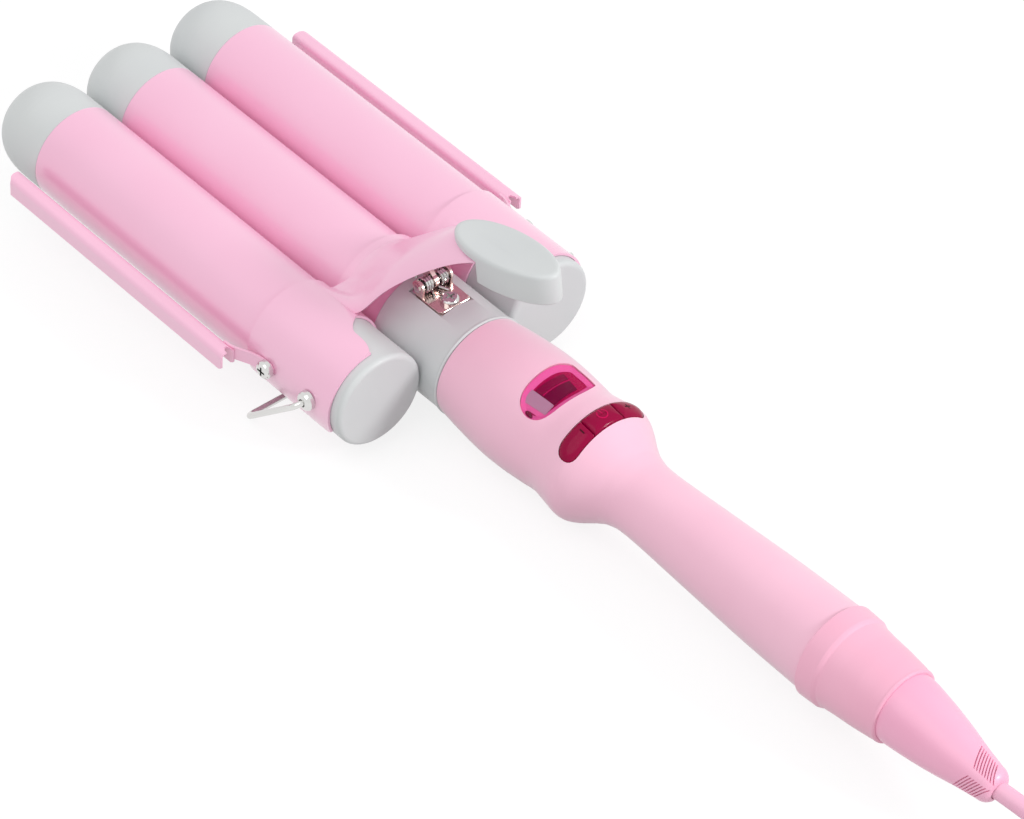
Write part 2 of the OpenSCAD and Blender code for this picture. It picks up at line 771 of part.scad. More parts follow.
module rest_wire() {
    inner_x = rest_pivot[0] - rest_bend;
    hook = 3.8;
    color("#DADCDD") placed() translate([0, rest_pivot[1], rest_pivot[2]]) rotate([-rest_angle, 0, 0]) {
        round_x(rest_r, -inner_x, inner_x, [rest_leg, 0]);
        for (m = [-1, 1]) on_side(m) {
            round_x(rest_r, inner_x - hook, inner_x, [0, 0]);
            translate([inner_x, rest_bend, 0]) rotate([0, 0, -90]) wire_bend();
            translate([rest_pivot[0], rest_bend, 0]) along_y()
                cylinder(r = rest_r, h = rest_leg - 2 * rest_bend, $fn = 32);
            translate([inner_x, rest_leg - rest_bend, 0]) wire_bend();
        }
    }
}

// ---- end cap, slip ring and boot ----

journal_r = 11.4;
flange_r = 12.2;
cap_bore_r = 12;

// Frame of the boot: origin in the end cap's mouth, -Y along the drooping boot
module boot_axis() {
    translate([0, cap_end, 0]) rotate([boot_droop, 0, 0]) children();
}

module end_cap() {
    collar = [15.5, 15.26];
    color("#F2BBD3") placed() difference() {
        revolved(concat(
            [[0, cap_spigot_y], [cap_spigot_r, cap_spigot_y], [cap_spigot_r, shell_end],
             [collar[0] - 0.3, shell_end], [collar[0], shell_end - 0.3], [collar[1], shell_end - 6.3],
             [collar[1] - 0.3, shell_end - 7], [14.5, shell_end - 7.7]],
            [[13.95, shell_end - 12.6], [13.5, shell_end - 18.9], [12.8, shell_end - 25]],
            arc(11.7, cap_end + 0.8, 0.8, 20, -90, 5), [[0, cap_end]]));
        boot_axis() {
            round_y(journal_r + 0.05, -10, 6);
            round_y(flange_r + 0.15, 3.95, 14);
        }
        round_y(cap_bore_r, cap_end + 11, cap_spigot_y + 1);
    }
}

module slip_ring() {
    color("#C8A24A") placed() translate([0, shell_end, 0]) difference() {
        union() {
            round_y(cap_bore_r, 0, 3);
            round_y(6, -2, 2);
        }
        round_y(3.5, -5, 5);
    }
}

// Boot outline as [distance behind the end cap, radius]
boot_knots = [[0, 11.4], [3, 11.25], [8.6, 10.55], [14.6, 9.62], [20.6, 8.48], [26.7, 7.15],
              [boot_len - 2, 5.95], [boot_len, boot_end_r]];

module cord_boot() {
    color("#F8B4D0") placed() boot_axis() difference() {
        revolved(concat([[0, 6.6], [flange_r, 6.6], [flange_r, 4], [journal_r, 4]],
            outline_behind(spline(boot_knots, 3), 0), [[0, -boot_len]]));
        round_y(cord_d / 2 + 0.3, -boot_len - 1, 8);
    }
}

// ---- cord, coil, tie and plug: these lie on the surface, z = 0, as they are ----

cord_r = cord_d / 2;
// From inside the boot down to the surface and back to the coil
cord_route = [[0, -167, 19.5], [0, -182, 18.4], [0.1, -198, 17.3], [1, -206, 16.6], [2.1, -214, 15.5],
              [2.8, -222, 13.8], [2.8, -230, 11.3], [2.2, -238, 8.5], [1.3, -246, 5.9], [0.5, -254, 4],
              [0.1, -262, 3.05], [0, -270, 2.85]];
coil_out = (coil_d + cord_d * (coil_across - 1)) / 2;
coil_center = [coil_out, -270];
coil_h = cord_d * coil_layers;
plug_t = 13.7;
plug_at = [2 * coil_out, -244];
// From the coil's top turn to the plug
tail_route = [[2 * coil_out, -262, 8.55], [2 * coil_out, -256, 8.3], [2 * coil_out, -251.5, 7.6],
              [2 * coil_out, -248, 6.9], [2 * coil_out, -245, plug_t / 2],
              [2 * coil_out, -242, plug_t / 2], [2 * coil_out, -240, plug_t / 2]];

module cord() {
    color("#F4B9D3") {
        swept_tube(spline(cord_route, 2), cord_r, 10);
        swept_tube(spline(tail_route, 2), cord_r, 10);
    }
}

module cord_coil() {
    half = cord_d * coil_across / 2;
    color("#F4B9D3") translate([coil_center[0], coil_center[1], 0]) rotate_extrude($fn = 96)
        polygon(concat(
            arc(coil_d / 2 - half + cord_r, cord_r, cord_r, 180, 270, 4),
            arc(coil_d / 2 + half - cord_r, cord_r, cord_r, 270, 360, 4),
            arc(coil_d / 2 + half - cord_r, coil_h - cord_r, cord_r, 0, 90, 4),
            arc(coil_d / 2 - half + cord_r, coil_h - cord_r, cord_r, 90, 180, 4)));
}

// A strap round the coil's section
module cord_tie() {
    t = 1;
    side = cord_d * coil_across;
    color("#F7F4F5") translate([coil_center[0], coil_center[1] - coil_d / 2, 0])
        rotate([0, 90, 0]) translate([0, 0, -3.5]) linear_extrude(7) difference() {
            translate([-coil_h - t, -side / 2 - t]) square([coil_h + t, side + 2 * t]);
            translate([-coil_h - 0.1, -side / 2 - 0.1]) square([coil_h - t + 0.1, side + 0.2]);
        }
}

plug_len_y = [244, 231, 217, 200];
plug_half = 17.65;

module plug_body() {
    color("#F2B6CF") translate([plug_at[0], 0, 0]) difference() {
        union() {
            linear_extrude(plug_t) polygon([
                [-plug_half + 1, -plug_len_y[3]], [-plug_half, -plug_len_y[3] - 1],
                [-plug_half, -plug_len_y[2]], [-9, -plug_len_y[1]], [9, -plug_len_y[1]],
                [plug_half, -plug_len_y[2]], [plug_half, -plug_len_y[3] - 1],
                [plug_half - 1, -plug_len_y[3]]]);
            translate([0, -plug_len_y[0], plug_t / 2]) along_y()
                cylinder(r1 = 4.4, r2 = 6.2, h = plug_len_y[0] - plug_len_y[1] + 2, $fn = 48);
        }
        translate([0, -plug_len_y[0] - 1, plug_t / 2]) along_y() cylinder(r = cord_r + 0.03, h = 5, $fn = 48);
    }
}

pin_pitch = 18.6;

module plug_pins() {
    color("#D8C080") for (s = [-1, 1])
        translate([plug_at[0] + s * pin_pitch / 2, -plug_len_y[3], plug_t / 2]) along_y() {
            cylinder(r = 2, h = 18.2, $fn = 48);
            translate([0, 0, 18.2]) cylinder(r1 = 2, r2 = 1.2, h = 0.8, $fn = 48);
        }
}

handle_shell();
neck();
center_barrel();
center_tip_cap();
center_heater();
hinge_base();
hinge_screw();
hinge_pin();
clamp_spring();
display_lens();
display_module();
control_board();
key_switches();
board_carrier();
end_cap();
slip_ring();
cord();
cord_coil();
cord_tie();
plug_body();
plug_pins();
clamp_bracket();
hinge_leaf();
thumb_pad();
left_barrel();
right_barrel();
left_tip_cap();
right_tip_cap();
left_rear_cap();
right_rear_cap();
left_heater();
right_heater();
left_guard();
right_guard();
guard_screws();
rest_bushes();
rest_wire();
minus_key();
power_key();
plus_key();
cord_boot();
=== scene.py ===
# %% [markdown]
# # A triple-barrel hair waver
#
# The engineering model brings every solid of the waver to its real place. This lesson loads
# it as a fixed frame and makes what the eye needs: the pressed clamp, the moulded thumb pad,
# the display's window and the keys, the neck with the hinge's stamping, the slotted boot,
# the cord with its plug, and a finish for every piece.

# %% Load the frame
from math import asin, atan2, copysign, cos, exp, log, pi, radians, sin, sqrt
import bmesh
import bpy
from mathutils import Matrix, Vector


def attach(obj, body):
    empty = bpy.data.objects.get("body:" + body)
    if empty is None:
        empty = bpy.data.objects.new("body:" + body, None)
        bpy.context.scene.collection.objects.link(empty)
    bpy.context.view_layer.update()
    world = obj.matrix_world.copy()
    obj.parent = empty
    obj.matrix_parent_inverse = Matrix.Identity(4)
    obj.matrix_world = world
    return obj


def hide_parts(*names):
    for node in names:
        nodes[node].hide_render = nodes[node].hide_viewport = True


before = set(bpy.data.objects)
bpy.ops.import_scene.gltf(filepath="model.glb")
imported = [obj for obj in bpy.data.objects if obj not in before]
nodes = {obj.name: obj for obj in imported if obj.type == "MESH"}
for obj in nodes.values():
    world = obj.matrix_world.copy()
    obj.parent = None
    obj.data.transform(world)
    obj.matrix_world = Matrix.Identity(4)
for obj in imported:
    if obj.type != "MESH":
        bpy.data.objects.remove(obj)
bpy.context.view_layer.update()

# %% [markdown]
# ## Millimetres in the tool's own frame
#
# The waver is easiest to think of in millimetres about its centre barrel: x to the right,
# y towards the tips, z up, with the origin where the neck meets the handle. One function
# turns such a spot into the scene's metres, where the tool stands on its bulge and its rest.

# %% A spot of the tool in the scene
mm = 0.001
stand = Vector((0.0, 18.052445, 19.75))


def spot(x, y, z):
    return (Vector((x, y, z)) + stand) * mm


print("origin of the tool", spot(0, 0, 0))

# %% [markdown]
# ## The camera
#
# The camera looks from the left, behind and above, with a long lens, so that the barrels
# hardly taper. The lens is worked out from the focal length in pixels and a 36 mm wide
# sensor on an image 1024 pixels wide, and a small roll tilts the horizon.

# %% Camera
azimuth, elevation, roll = (radians(a) for a in (-43.939, 42.585, 3.718))
focal_pixels, image_width, sensor_width = 4948.744, 1024, 36
back = Vector((sin(azimuth) * cos(elevation), -cos(azimuth) * cos(elevation),
               sin(elevation)))
level = Vector((cos(azimuth), sin(azimuth), 0))
upright = back.cross(level)
right = cos(roll) * level + sin(roll) * upright
up = cos(roll) * upright - sin(roll) * level

bpy.ops.object.camera_add()
camera = bpy.context.object
camera.name = "camera"
camera.rotation_mode = "QUATERNION"
camera.rotation_quaternion = Matrix((right, up, back)).transposed().to_quaternion()
camera.location = (-0.75515, -0.78031, 1.01369)
camera.data.sensor_width = sensor_width
camera.data.lens = focal_pixels * sensor_width / image_width
camera.data.clip_start, camera.data.clip_end = 0.01, 100
bpy.context.scene.camera = camera
print("lens", round(camera.data.lens, 1), "mm")

# %% [markdown]
# ## Hands in the workshop
#
# Every piece is modelled as by hand: one object is taken up alone, shaped in edit mode and
# put down again. These helpers take a piece up, shade it, turn its faces and finish a
# modifier for good, so that the steps below read as steps of the work.


# %% Taking up, shading and finishing
def empty_hands():
    if bpy.context.object and bpy.context.object.mode != "OBJECT":
        bpy.ops.object.mode_set(mode="OBJECT")
    bpy.ops.object.select_all(action="DESELECT")


def take(piece):
    empty_hands()
    piece.select_set(True)
    bpy.context.view_layer.objects.active = piece


def added(name, operator, **settings):
    """A new object from one of the operators that add one."""
    empty_hands()
    operator(**settings)
    bpy.context.object.name = name
    return bpy.context.object


def open_up(piece, kind="FACE"):
    """Edit mode on one piece, with all its faces or points picked."""
    take(piece)
    bpy.ops.object.mode_set(mode="EDIT")
    bpy.ops.mesh.select_mode(type=kind)
    bpy.ops.mesh.select_all(action="SELECT")


def shade(piece, angle):
    """Shade smooth where faces meet at less than an angle in degrees."""
    take(piece)
    bpy.ops.object.shade_smooth_by_angle(angle=radians(angle))


def face_up(sheet):
    """Turn the faces of an open sheet so that they look up."""
    open_up(sheet)
    bpy.ops.mesh.normals_make_consistent(inside=False)
    bpy.ops.object.mode_set(mode="OBJECT")
    if sum(face.normal.z for face in sheet.data.polygons) < 0:
        open_up(sheet)
        bpy.ops.mesh.flip_normals()
        bpy.ops.object.mode_set(mode="OBJECT")


def finish(piece, kind, **settings):
    """Add one modifier and apply it."""
    take(piece)
    modifier = piece.modifiers.new(kind.lower(), kind)
    for name, value in settings.items():
        setattr(modifier, name, value)
    bpy.ops.object.modifier_apply(modifier=modifier.name)


def cut(piece, cutter, solver="EXACT"):
    """Cut one solid with another and clear the cutter away."""
    finish(piece, "BOOLEAN", operation="DIFFERENCE", object=cutter, solver=solver)
    bpy.data.objects.remove(cutter)


def break_edges(piece, width, angle):
    """Bevel the edges that are sharper than an angle in degrees, by a width in mm."""
    finish(piece, "BEVEL", width=width * mm, segments=2, limit_method="ANGLE",
           angle_limit=radians(angle))


def tidy_shell(piece, smooth=35):
    """Merge doubles, point the faces outwards and shade smooth below an angle."""
    open_up(piece)
    bpy.ops.mesh.remove_doubles(threshold=1e-6)
    bpy.ops.mesh.normals_make_consistent(inside=False)
    shade(piece, smooth)


def seat(piece):
    """Put a piece's place into its mesh, so that its object sits at the origin."""
    take(piece)
    bpy.ops.object.transform_apply(location=True, rotation=True, scale=True)


def mirror_image(piece, name):
    """A copy on the other side, with its own mesh."""
    twin = piece.copy()
    twin.data = piece.data.copy()
    twin.name = name
    bpy.context.scene.collection.objects.link(twin)
    twin.scale = (-1, 1, 1)
    seat(twin)
    tidy_shell(twin)
    return twin


def count_faces(piece):
    print(piece.name, len(piece.data.polygons), "faces")


def joined(name, pieces):
    empty_hands()
    for piece in pieces:
        piece.select_set(True)
    bpy.context.view_layer.objects.active = pieces[0]
    bpy.ops.object.join()
    pieces[0].name = name
    return pieces[0]


# %% [markdown]
# ## Lathe work
#
# The sleeves, the band and the neck are round about an axis along y. Each is drawn out like
# clay on a wheel: a circle is added at the first station and extruded and resized from
# station to station, until the last one closes the wall on the first.


# %% A turned piece from stations of (y, radius)
def turned(name, stations, centre=(0, 0), around=128):
    x, z = centre
    y, held = stations[0]
    piece = added(name, bpy.ops.mesh.primitive_circle_add, vertices=around, radius=held * mm,
                  location=spot(x, y, z), rotation=(radians(90), 0, 0))
    seat(piece)
    open_up(piece, "VERT")
    for y_next, r_next in stations[1:]:
        step = (0, (y_next - y) * mm, 0)
        bpy.ops.mesh.extrude_region_move(TRANSFORM_OT_translate={"value": step})
        if abs(r_next - held) > 1e-6:
            bpy.ops.transform.resize(value=(r_next / held, 1, r_next / held),
                                     center_override=spot(x, y_next, z))
        y, held = y_next, r_next
    tidy_shell(piece)
    return piece


def quarter(y, radius, r, start, end, steps=5):
    """Stations round an edge of radius r, about a middle at (y, radius)."""
    turns = [radians(start + (end - start) * i / steps) for i in range(steps + 1)]
    return [(y + r * sin(a), radius + r * cos(a)) for a in turns]


# %% [markdown]
# ## Smooth lines
#
# Many outlines here are given as a few points. A smooth curve is laid through them.


# %% A smooth line through points
def flowing(points, steps):
    """Steps is how many stretches go from each point to the next."""
    line = []
    for k in range(len(points) - 1):
        a, b, c, d = (Vector(points[max(0, min(len(points) - 1, k + j))]) for j in (-1, 0, 1, 2))
        for s in range(steps):
            f = s / steps
            line.append(0.5 * (2 * b + (c - a) * f + (2 * a - 5 * b + 4 * c - d) * f ** 2
                               + (3 * b - a - 3 * c + d) * f ** 3))
    line.append(Vector(points[-1]))
    return line


# %% [markdown]
# ## Pulled skins
#
# Pieces that are not round, such as the pad, the lens and the keys, are pulled from ring to
# ring in the same way: an edge loop is extruded and each of its points is put in its place
# on the next ring. Straight cutters are pulled from one outline to the other.


# %% A skin pulled through rings of spots
def pulled(name, rings, looped=False, smooth=35):
    """Rings are lists of spots in mm, all of one count. The ends are filled, or looped into one."""
    piece = added(name, bpy.ops.mesh.primitive_circle_add, vertices=len(rings[0]), radius=mm)
    for vert, place in zip(piece.data.vertices, rings[0]):
        vert.co = spot(*place)
    open_up(piece, "VERT")
    if not looped:
        bpy.ops.mesh.edge_face_add()
        bpy.ops.mesh.duplicate()
        bpy.ops.mesh.delete(type="ONLY_FACE")
        bpy.ops.mesh.select_all(action="SELECT")
        bpy.ops.mesh.remove_doubles(threshold=1e-7)
    for held, ring in zip(rings, rings[1:]):
        bpy.ops.mesh.extrude_region_move()
        work = bmesh.from_edit_mesh(piece.data)
        fresh = [v for v in work.verts if v.select]
        where = {tuple(round(c * 1e7) for c in spot(*place)): k for k, place in enumerate(held)}
        for vert in fresh:
            key = tuple(round(c * 1e7) for c in vert.co)
            k = where.get(key)
            if k is None:
                k = min(range(len(held)), key=lambda i: (spot(*held[i]) - vert.co).length)
            vert.co = spot(*ring[k])
        bmesh.update_edit_mesh(piece.data)
    if not looped:
        bpy.ops.mesh.edge_face_add()
    tidy_shell(piece, smooth)
    return piece


def prism(outline, axis, low, high):
    """A straight cutter: an outline in the two other axes, from low to high along its own."""
    def lifted(height):
        return [(height, p, q) if axis == "x" else (p, q, height) for p, q in outline]
    return pulled("cutter", [lifted(low), lifted(high)])


def bar(low, high):
    """A straight-sided cutter between two corners."""
    corners = [(low[0], low[1]), (high[0], low[1]), (high[0], high[1]), (low[0], high[1])]
    return prism(corners, "z", low[2], high[2])


# %% [markdown]
# ## The cord's route
#
# The mains cord leaves the boot, falls to the surface and runs back to a neat coil of two
# layers that lies just behind the tool, out of view. The turns of the lower layer go
# inwards, the cord climbs inside the innermost one, and the upper layer comes back outwards
# to the plug. Every shift from one turn to the next takes the same half turn, so that
# neighbours stay a diameter apart all the way round. These spots are above the surface.

# %% The cord's line
cord_width = 5.7
turn_radii = [45.55, 39.85, 34.15, 28.45, 28.45, 34.15, 39.85, 45.55, 45.55]
turns_below = 4
coil_middle = (45.55, -270.0)
coil_start, coil_end, coil_step = 180, 2880, 9
plug_x, plug_z = 91.1, 6.85


def smooth_step(t):
    t = max(0.0, min(1.0, t))
    return t * t * (3 - 2 * t)


def coil_spot(angle):
    """Angle in degrees, from coil_start at the end of the lead to coil_end at the tail."""
    turn, within = divmod(angle - coil_start, 360)
    shift = smooth_step((within - 180) / 180)
    radius, next_radius = turn_radii[turn], turn_radii[min(len(turn_radii) - 1, turn + 1)]
    radius += (next_radius - radius) * shift
    height = cord_width / 2 if turn < turns_below else cord_width * 1.5
    if turn == turns_below - 1:
        radius -= 0.4 * cord_width * sin(pi * shift)
        height += cord_width * smooth_step(shift)
    a = radians(angle)
    return Vector((coil_middle[0] + radius * cos(a), coil_middle[1] + radius * sin(a), height))


lead = [(0, -182, 18.4), (0.1, -198, 17.3), (1, -206, 16.6), (2.1, -214, 15.5), (2.8, -222, 13.8),
        (2.8, -230, 11.3), (2.2, -238, 8.5), (1.3, -246, 5.9), (0.5, -254, 4), (0.1, -262, 3.05)]
tail = [(plug_x, -262, 8.55), (plug_x, -256, 8.3), (plug_x, -251.5, 7.6), (plug_x, -248, 6.9),
        (plug_x, -245, plug_z), (plug_x, -242, plug_z), (plug_x, -240, plug_z)]
wound = [coil_spot(angle) for angle in range(coil_start, coil_end + 1, coil_step)]
cord_line = flowing([*lead, tuple(wound[0])], 3)[:-1] + wound + flowing(tail, 2)

# %% The cord itself
line = bpy.data.curves.new("mains_cord", "CURVE")
line.dimensions = "3D"
line.bevel_depth = cord_width / 2 * mm
line.bevel_resolution = 5
line.use_fill_caps = True
spline = line.splines.new("POLY")
spline.points.add(len(cord_line) - 1)
for point, place in zip(spline.points, cord_line):
    point.co = (*(place * mm), 1)
spline.use_smooth = True
mains_cord = bpy.data.objects.new("mains_cord", line)
bpy.context.scene.collection.objects.link(mains_cord)
take(mains_cord)
bpy.ops.object.convert(target="MESH")
mains_cord = bpy.context.object
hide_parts("cord", "cord_coil")
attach(mains_cord, "handle")
count_faces(mains_cord)

# %% [markdown]
# ### The tie and the plug
#
# A strap holds the coil's turns together, round their section with soft corners. The plug
# is a flat two-pin moulding whose shoulders narrow to its own strain relief, with shallow
# grips on both sides; it is pulled from rounded sections along its length.


# %% A spot above the surface, and the tie
def above_surface(x, y, z):
    return (x, y - stand.y, z - stand.z)


def strap_loop(x, grow):
    """The strap's line round the turns in a plane across it, with rounded corners."""
    corner_r = 1.75 + grow
    corners = ((-297.4, 10.6, 0), (-316.6, 10.6, 90), (-316.6, 1.8, 180), (-297.4, 1.8, 270))
    return [above_surface(coil_middle[0] + x, y + corner_r * cos(radians(start + 15 * k)),
                          z + corner_r * sin(radians(start + 15 * k)))
            for y, z, start in corners for k in range(7)]


strap_half, strap_thick = 3.5, 0.9
strap_section = [(-strap_half, 0), (-strap_half + 0.1, 0.05), (strap_half - 0.1, 0.05),
                 (strap_half, 0), (strap_half, -strap_thick), (-strap_half, -strap_thick),
                 (-strap_half, 0)]
coil_strap = pulled("coil_strap", [strap_loop(x, grow) for x, grow in strap_section], looped=True)
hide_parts("cord_tie")
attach(coil_strap, "handle")


# %% The plug
def plug_ring(y, half_wide, half_thick, square):
    """A rounded section of the plug; a higher power makes it squarer."""
    ring = []
    for k in range(64):
        a = 2 * pi * (k + 0.5) / 64
        c, s = cos(a), sin(a)
        ring.append(above_surface(plug_x + half_wide * copysign(abs(c) ** (2 / square), c), y,
                                  plug_z + half_thick * copysign(abs(s) ** (2 / square), s)))
    return ring


body_wide, groove_wide, body_thick, grip_first, grip_pitch = 17.6, 17.0, 6.8, -204.5, 2.4
nose = [(-200.0, 15.4, 5.2, 4), (-200.2, 16.4, 6.0, 4.4), (-200.9, 17.3, 6.6, 5),
        (-202, body_wide, body_thick, 5)]
groove = ((0, body_wide), (0.5, groove_wide), (1.1, groove_wide), (1.6, body_wide))
grips = [(grip_first - grip_pitch * k - behind, wide, body_thick, 5)
         for k in range(5) for behind, wide in groove]
shoulders = [(-217.2, 17.3, body_thick, 4.6), (-220, 15.7, 6.75, 4), (-224, 12.9, 6.7, 3.4),
             (-228, 10.1, 6.5, 2.8), (-231, 8.2, 6.3, 2.3), (-233.5, 6.4, 6.0, 2)]
relief = [(-236, 5.4), (-240, 4.8), (-243.4, 4.4), (-244, 4.0), (-244, 2.9)]
moulded_plug = pulled("moulded_plug", [plug_ring(*section) for section in nose + grips + shoulders]
                      + [plug_ring(y, radius, radius, 2) for y, radius in relief], smooth=40)
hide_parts("plug_body")
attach(moulded_plug, "handle")
count_faces(moulded_plug)

# %% [markdown]
# ## The clamp's bracket
#
# The bracket is pressed from one sheet of steel 0.8 mm thick: two sleeves hug the outer
# barrels, a band crosses the middle one, and a broad arch rises from all three and narrows
# to the tongue under the thumb pad. The arch is the part that needs care. A grid is added
# and each of its points is put where the press tool would put it: low down it follows the
# barrels with a soft valley between them, and higher up it is a free crowned strip. The
# sleeves are turned tubes that are cut open, so that they stay perfectly round. The crown's
# third value is how closely the arch follows the barrels there.

# %% Lines that the press tool follows
sheet = 0.8
barrel_x, barrel_z = 33.6, 0.9
valley_z, band_top, sleeve_top = 11.5, 17.85, 16.97
crown_line = flowing([(45.6, 17.9, 1), (42, 20.4, 1), (37, 25.1, 0.85), (32, 29.7, 0.4),
                      (26, 35.2, 0.05), (20, 40.6, 0), (14, 45.1, 0), (8, 47.2, 0), (-1, 48.9, 0),
                      (-6, 49.85, 0), (-14, 51.3, 0), (-22, 52.8, 0)], 6)
rim_line = flowing([(25.8, 45.6, 14.8), (25.8, 42, 14.8), (25.8, 36, 14.8), (25.6, 29.5, 15.1),
                    (21.3, 23.8, 24), (15.9, 17, 32.1), (12.4, 10, 38.9), (9.6, 4, 43.6),
                    (8.2, -2.5, 48), (6.5, -6, 49.6), (6, -14, 51.1), (5.4, -22, 52.6)], 6)


def over(radius, across):
    return sqrt(radius ** 2 - across ** 2) if abs(across) < radius else 0.0


def soft_top(heights, blend=0.45):
    """The highest of some heights, with the creases between them rounded."""
    top = max(heights)
    return top + blend * log(sum(exp((h - top) / blend) for h in heights)) - blend * 0.02


def sheet_height(x):
    """Height of the outer skin over band, valley or sleeve at a place across."""
    return soft_top([valley_z, over(band_top, x), barrel_z + over(sleeve_top, barrel_x - abs(x))])


def arch_spot(row, side):
    """A spot of the arch in one of its rows, from -1 at the left rim to 1 at the right."""
    crown_y, crown_z, follow = crown_line[row]
    rim_x, rim_y, rim_z = rim_line[row]
    bow = max(0.0, cos(side * pi / 2))
    x, rise, close = rim_x * sin(side * pi / 2), bow ** 1.3, max(0.0, min(1.0, follow))
    low = sheet_height(x) + (crown_z - band_top) * bow * bow
    free = rim_z + (crown_z - rim_z) * rise
    return x, rim_y + (crown_y - rim_y) * rise, low * close + free * (1 - close)


# %% The arch, from a grid
rows, columns = len(crown_line) - 1, 64
arch = added("clamp_bracket_arch", bpy.ops.mesh.primitive_grid_add, x_subdivisions=columns,
             y_subdivisions=rows, size=1)
for vert in arch.data.vertices:
    across, along = round((vert.co.x + 0.5) * columns), round((vert.co.y + 0.5) * rows)
    even = across / columns * 2 - 1
    side = 0.15 * even + 0.85 * asin(even) * 2 / pi
    vert.co = spot(*arch_spot(rows - along, side))
face_up(arch)
finish(arch, "SOLIDIFY", thickness=sheet * mm, offset=-1.0, use_even_offset=True)
count_faces(arch)

# %% One sleeve and its cuts, and its mirror image
sleeve_in, sleeve_out, sleeve_rear, band_rear, bracket_front = 16.15, 16.95, 10.8, 43.5, 48.4
sleeve_wall = [(sleeve_rear, sleeve_out), (29, sleeve_out), (bracket_front, sleeve_out),
               (bracket_front, sleeve_in), (sleeve_rear, sleeve_in), (sleeve_rear, sleeve_out)]
sleeve = turned("right_sleeve", sleeve_wall, (barrel_x, barrel_z), 160)
open_side = bar((barrel_x - 33, 0, barrel_z - 30), (barrel_x - 3, 60, barrel_z + 3.5))
notch_line = flowing([(0.9, 0), (0.9, 10.9), (0.6, 11.9), (-0.2, 13.4), (-0.9, 15.6), (-1.2, 18.4),
                      (-1.5, 21.6), (-4, 24.7), (-7.6, 27.6)], 3)
notch = prism([*((barrel_x + across, y) for across, y in notch_line), (barrel_x - 30, 27.6),
               (barrel_x - 30, 0)], "z", barrel_z, barrel_z + 30)
skirt_line = [(6.2, 0), (6.6, 10.9), (7.6, 12.2), (9.2, 13.6), (11.6, 15.2), (14.4, 17.6), (30, 20),
              (30, 0)]
skirt_cut = prism([(y, barrel_z - below) for below, y in skirt_line],
                  "x", barrel_x - 4, barrel_x + 30)
for cutter in (open_side, notch, skirt_cut):
    cut(sleeve, cutter)
left_sleeve = mirror_image(sleeve, "left_sleeve")
count_faces(sleeve)

# %% The band over the middle barrel, and the whole bracket
band_out, band_in = 17.8, 17
band_wall = [(band_rear, band_out), (bracket_front, band_out), (bracket_front, band_in),
             (band_rear, band_in), (band_rear, band_out)]
band = turned("center_band", band_wall, around=160)
cut(band, bar((-30, 30, -30), (30, 60, 7.5)))
pressed_bracket = joined("pressed_bracket", [arch, sleeve, left_sleeve, band])
shade(pressed_bracket, 50)
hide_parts("clamp_bracket")
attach(pressed_bracket, "clamp")
count_faces(pressed_bracket)

# %% [markdown]
# ## The thumb pad
#
# The pad is a moulded cap that grips the clamp's tongue: an egg-shaped lid with a shallow
# hollow for the thumb and a skirt below its rear half. Both are pulled from rings of one
# outline, so the lid's rounded rim and the skirt's side are the same curve, as in a mould.

# %% The pad
pad_slope = radians(10.5)
pad_front_y, pad_top_z = 12.6, 49.5
pad_half_wide, pad_half_long = 8.9, 21.3
thumb_hollow = 0.75


def on_pad(x, y, z):
    """A spot of the pad's own level frame, tipped to lie over the tongue."""
    return (x, pad_front_y + y * cos(pad_slope) + z * sin(pad_slope),
            pad_top_z - y * sin(pad_slope) + z * cos(pad_slope))


def pad_outline(shrink, count=96):
    """The egg-shaped outline, drawn in by a distance, as spots of the pad's frame in plan."""
    points = []
    for k in range(count):
        a = 2 * pi * k / count
        x = pad_half_wide * sin(a) * (1 + 0.05 * cos(a))
        y = -pad_half_long * (1 - cos(a))
        points.append((x * (1 - shrink / pad_half_wide),
                       -pad_half_long + (y + pad_half_long) * (1 - shrink / pad_half_long)))
    return points


def hollow(x, y):
    """Depth of the thumb's hollow at a place of the lid."""
    across, along = x / pad_half_wide, (y + pad_half_long) / pad_half_long
    return -thumb_hollow * max(0.0, 1 - (across ** 2 + along ** 2) / 0.86) ** 1.2


lid_edge = [(0.35, -3.0), (0.05, -2.8), (0, -2.5), (0, -1.3), (0.06, -0.85), (0.25, -0.45),
            (0.55, -0.18)]
lid_top = [(0.95, -0.05), *((shrink, 0.0) for shrink in (1.5, 2.1, 2.8, 3.7, 4.7, 5.8, 6.9, 7.9))]
lid_rings = [[on_pad(x, y, z) for x, y in pad_outline(shrink)] for shrink, z in lid_edge]
lid_rings += [[on_pad(x, y, z + hollow(x, y)) for x, y in pad_outline(shrink)]
              for shrink, z in lid_top]
lid = pulled("pad_lid", lid_rings, smooth=60)


def skirt_ring(shrink, z):
    """The rear of the outline, closed across by a straight front with small corners."""
    side = [(x, y) for x, y in pad_outline(shrink, 192) if y <= -17.1]
    ordered = sorted(side, key=lambda p: atan2(-p[0], -(p[1] + 17)))
    first, last, front_y = ordered[0][0], ordered[-1][0], -16.5
    turn = [(last + 0.08, -16.75), (last + 0.3, -16.55),
            *((x, front_y) for x in (last + 1, -4, 0, 4, first - 1)),
            (first - 0.3, -16.55), (first - 0.08, -16.75)]
    return [on_pad(x, y, z) for x, y in ordered + turn]


skirt = pulled("pad_skirt", [skirt_ring(0.01, -1.4), skirt_ring(0.0, -2.0), skirt_ring(0.0, -9.5),
                             skirt_ring(0.12, -9.85), skirt_ring(0.4, -10.0)], smooth=50)
moulded_pad = joined("moulded_pad", [lid, skirt])
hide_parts("thumb_pad")
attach(moulded_pad, "clamp")
count_faces(moulded_pad)

# %% [markdown]
# ## The handle's crest
#
# The window and the keys are flush with the handle, so they need to know how far its
# surface is from the axis at any place. The line of its crests and waists gives it, as
# distances behind the neck and radii.


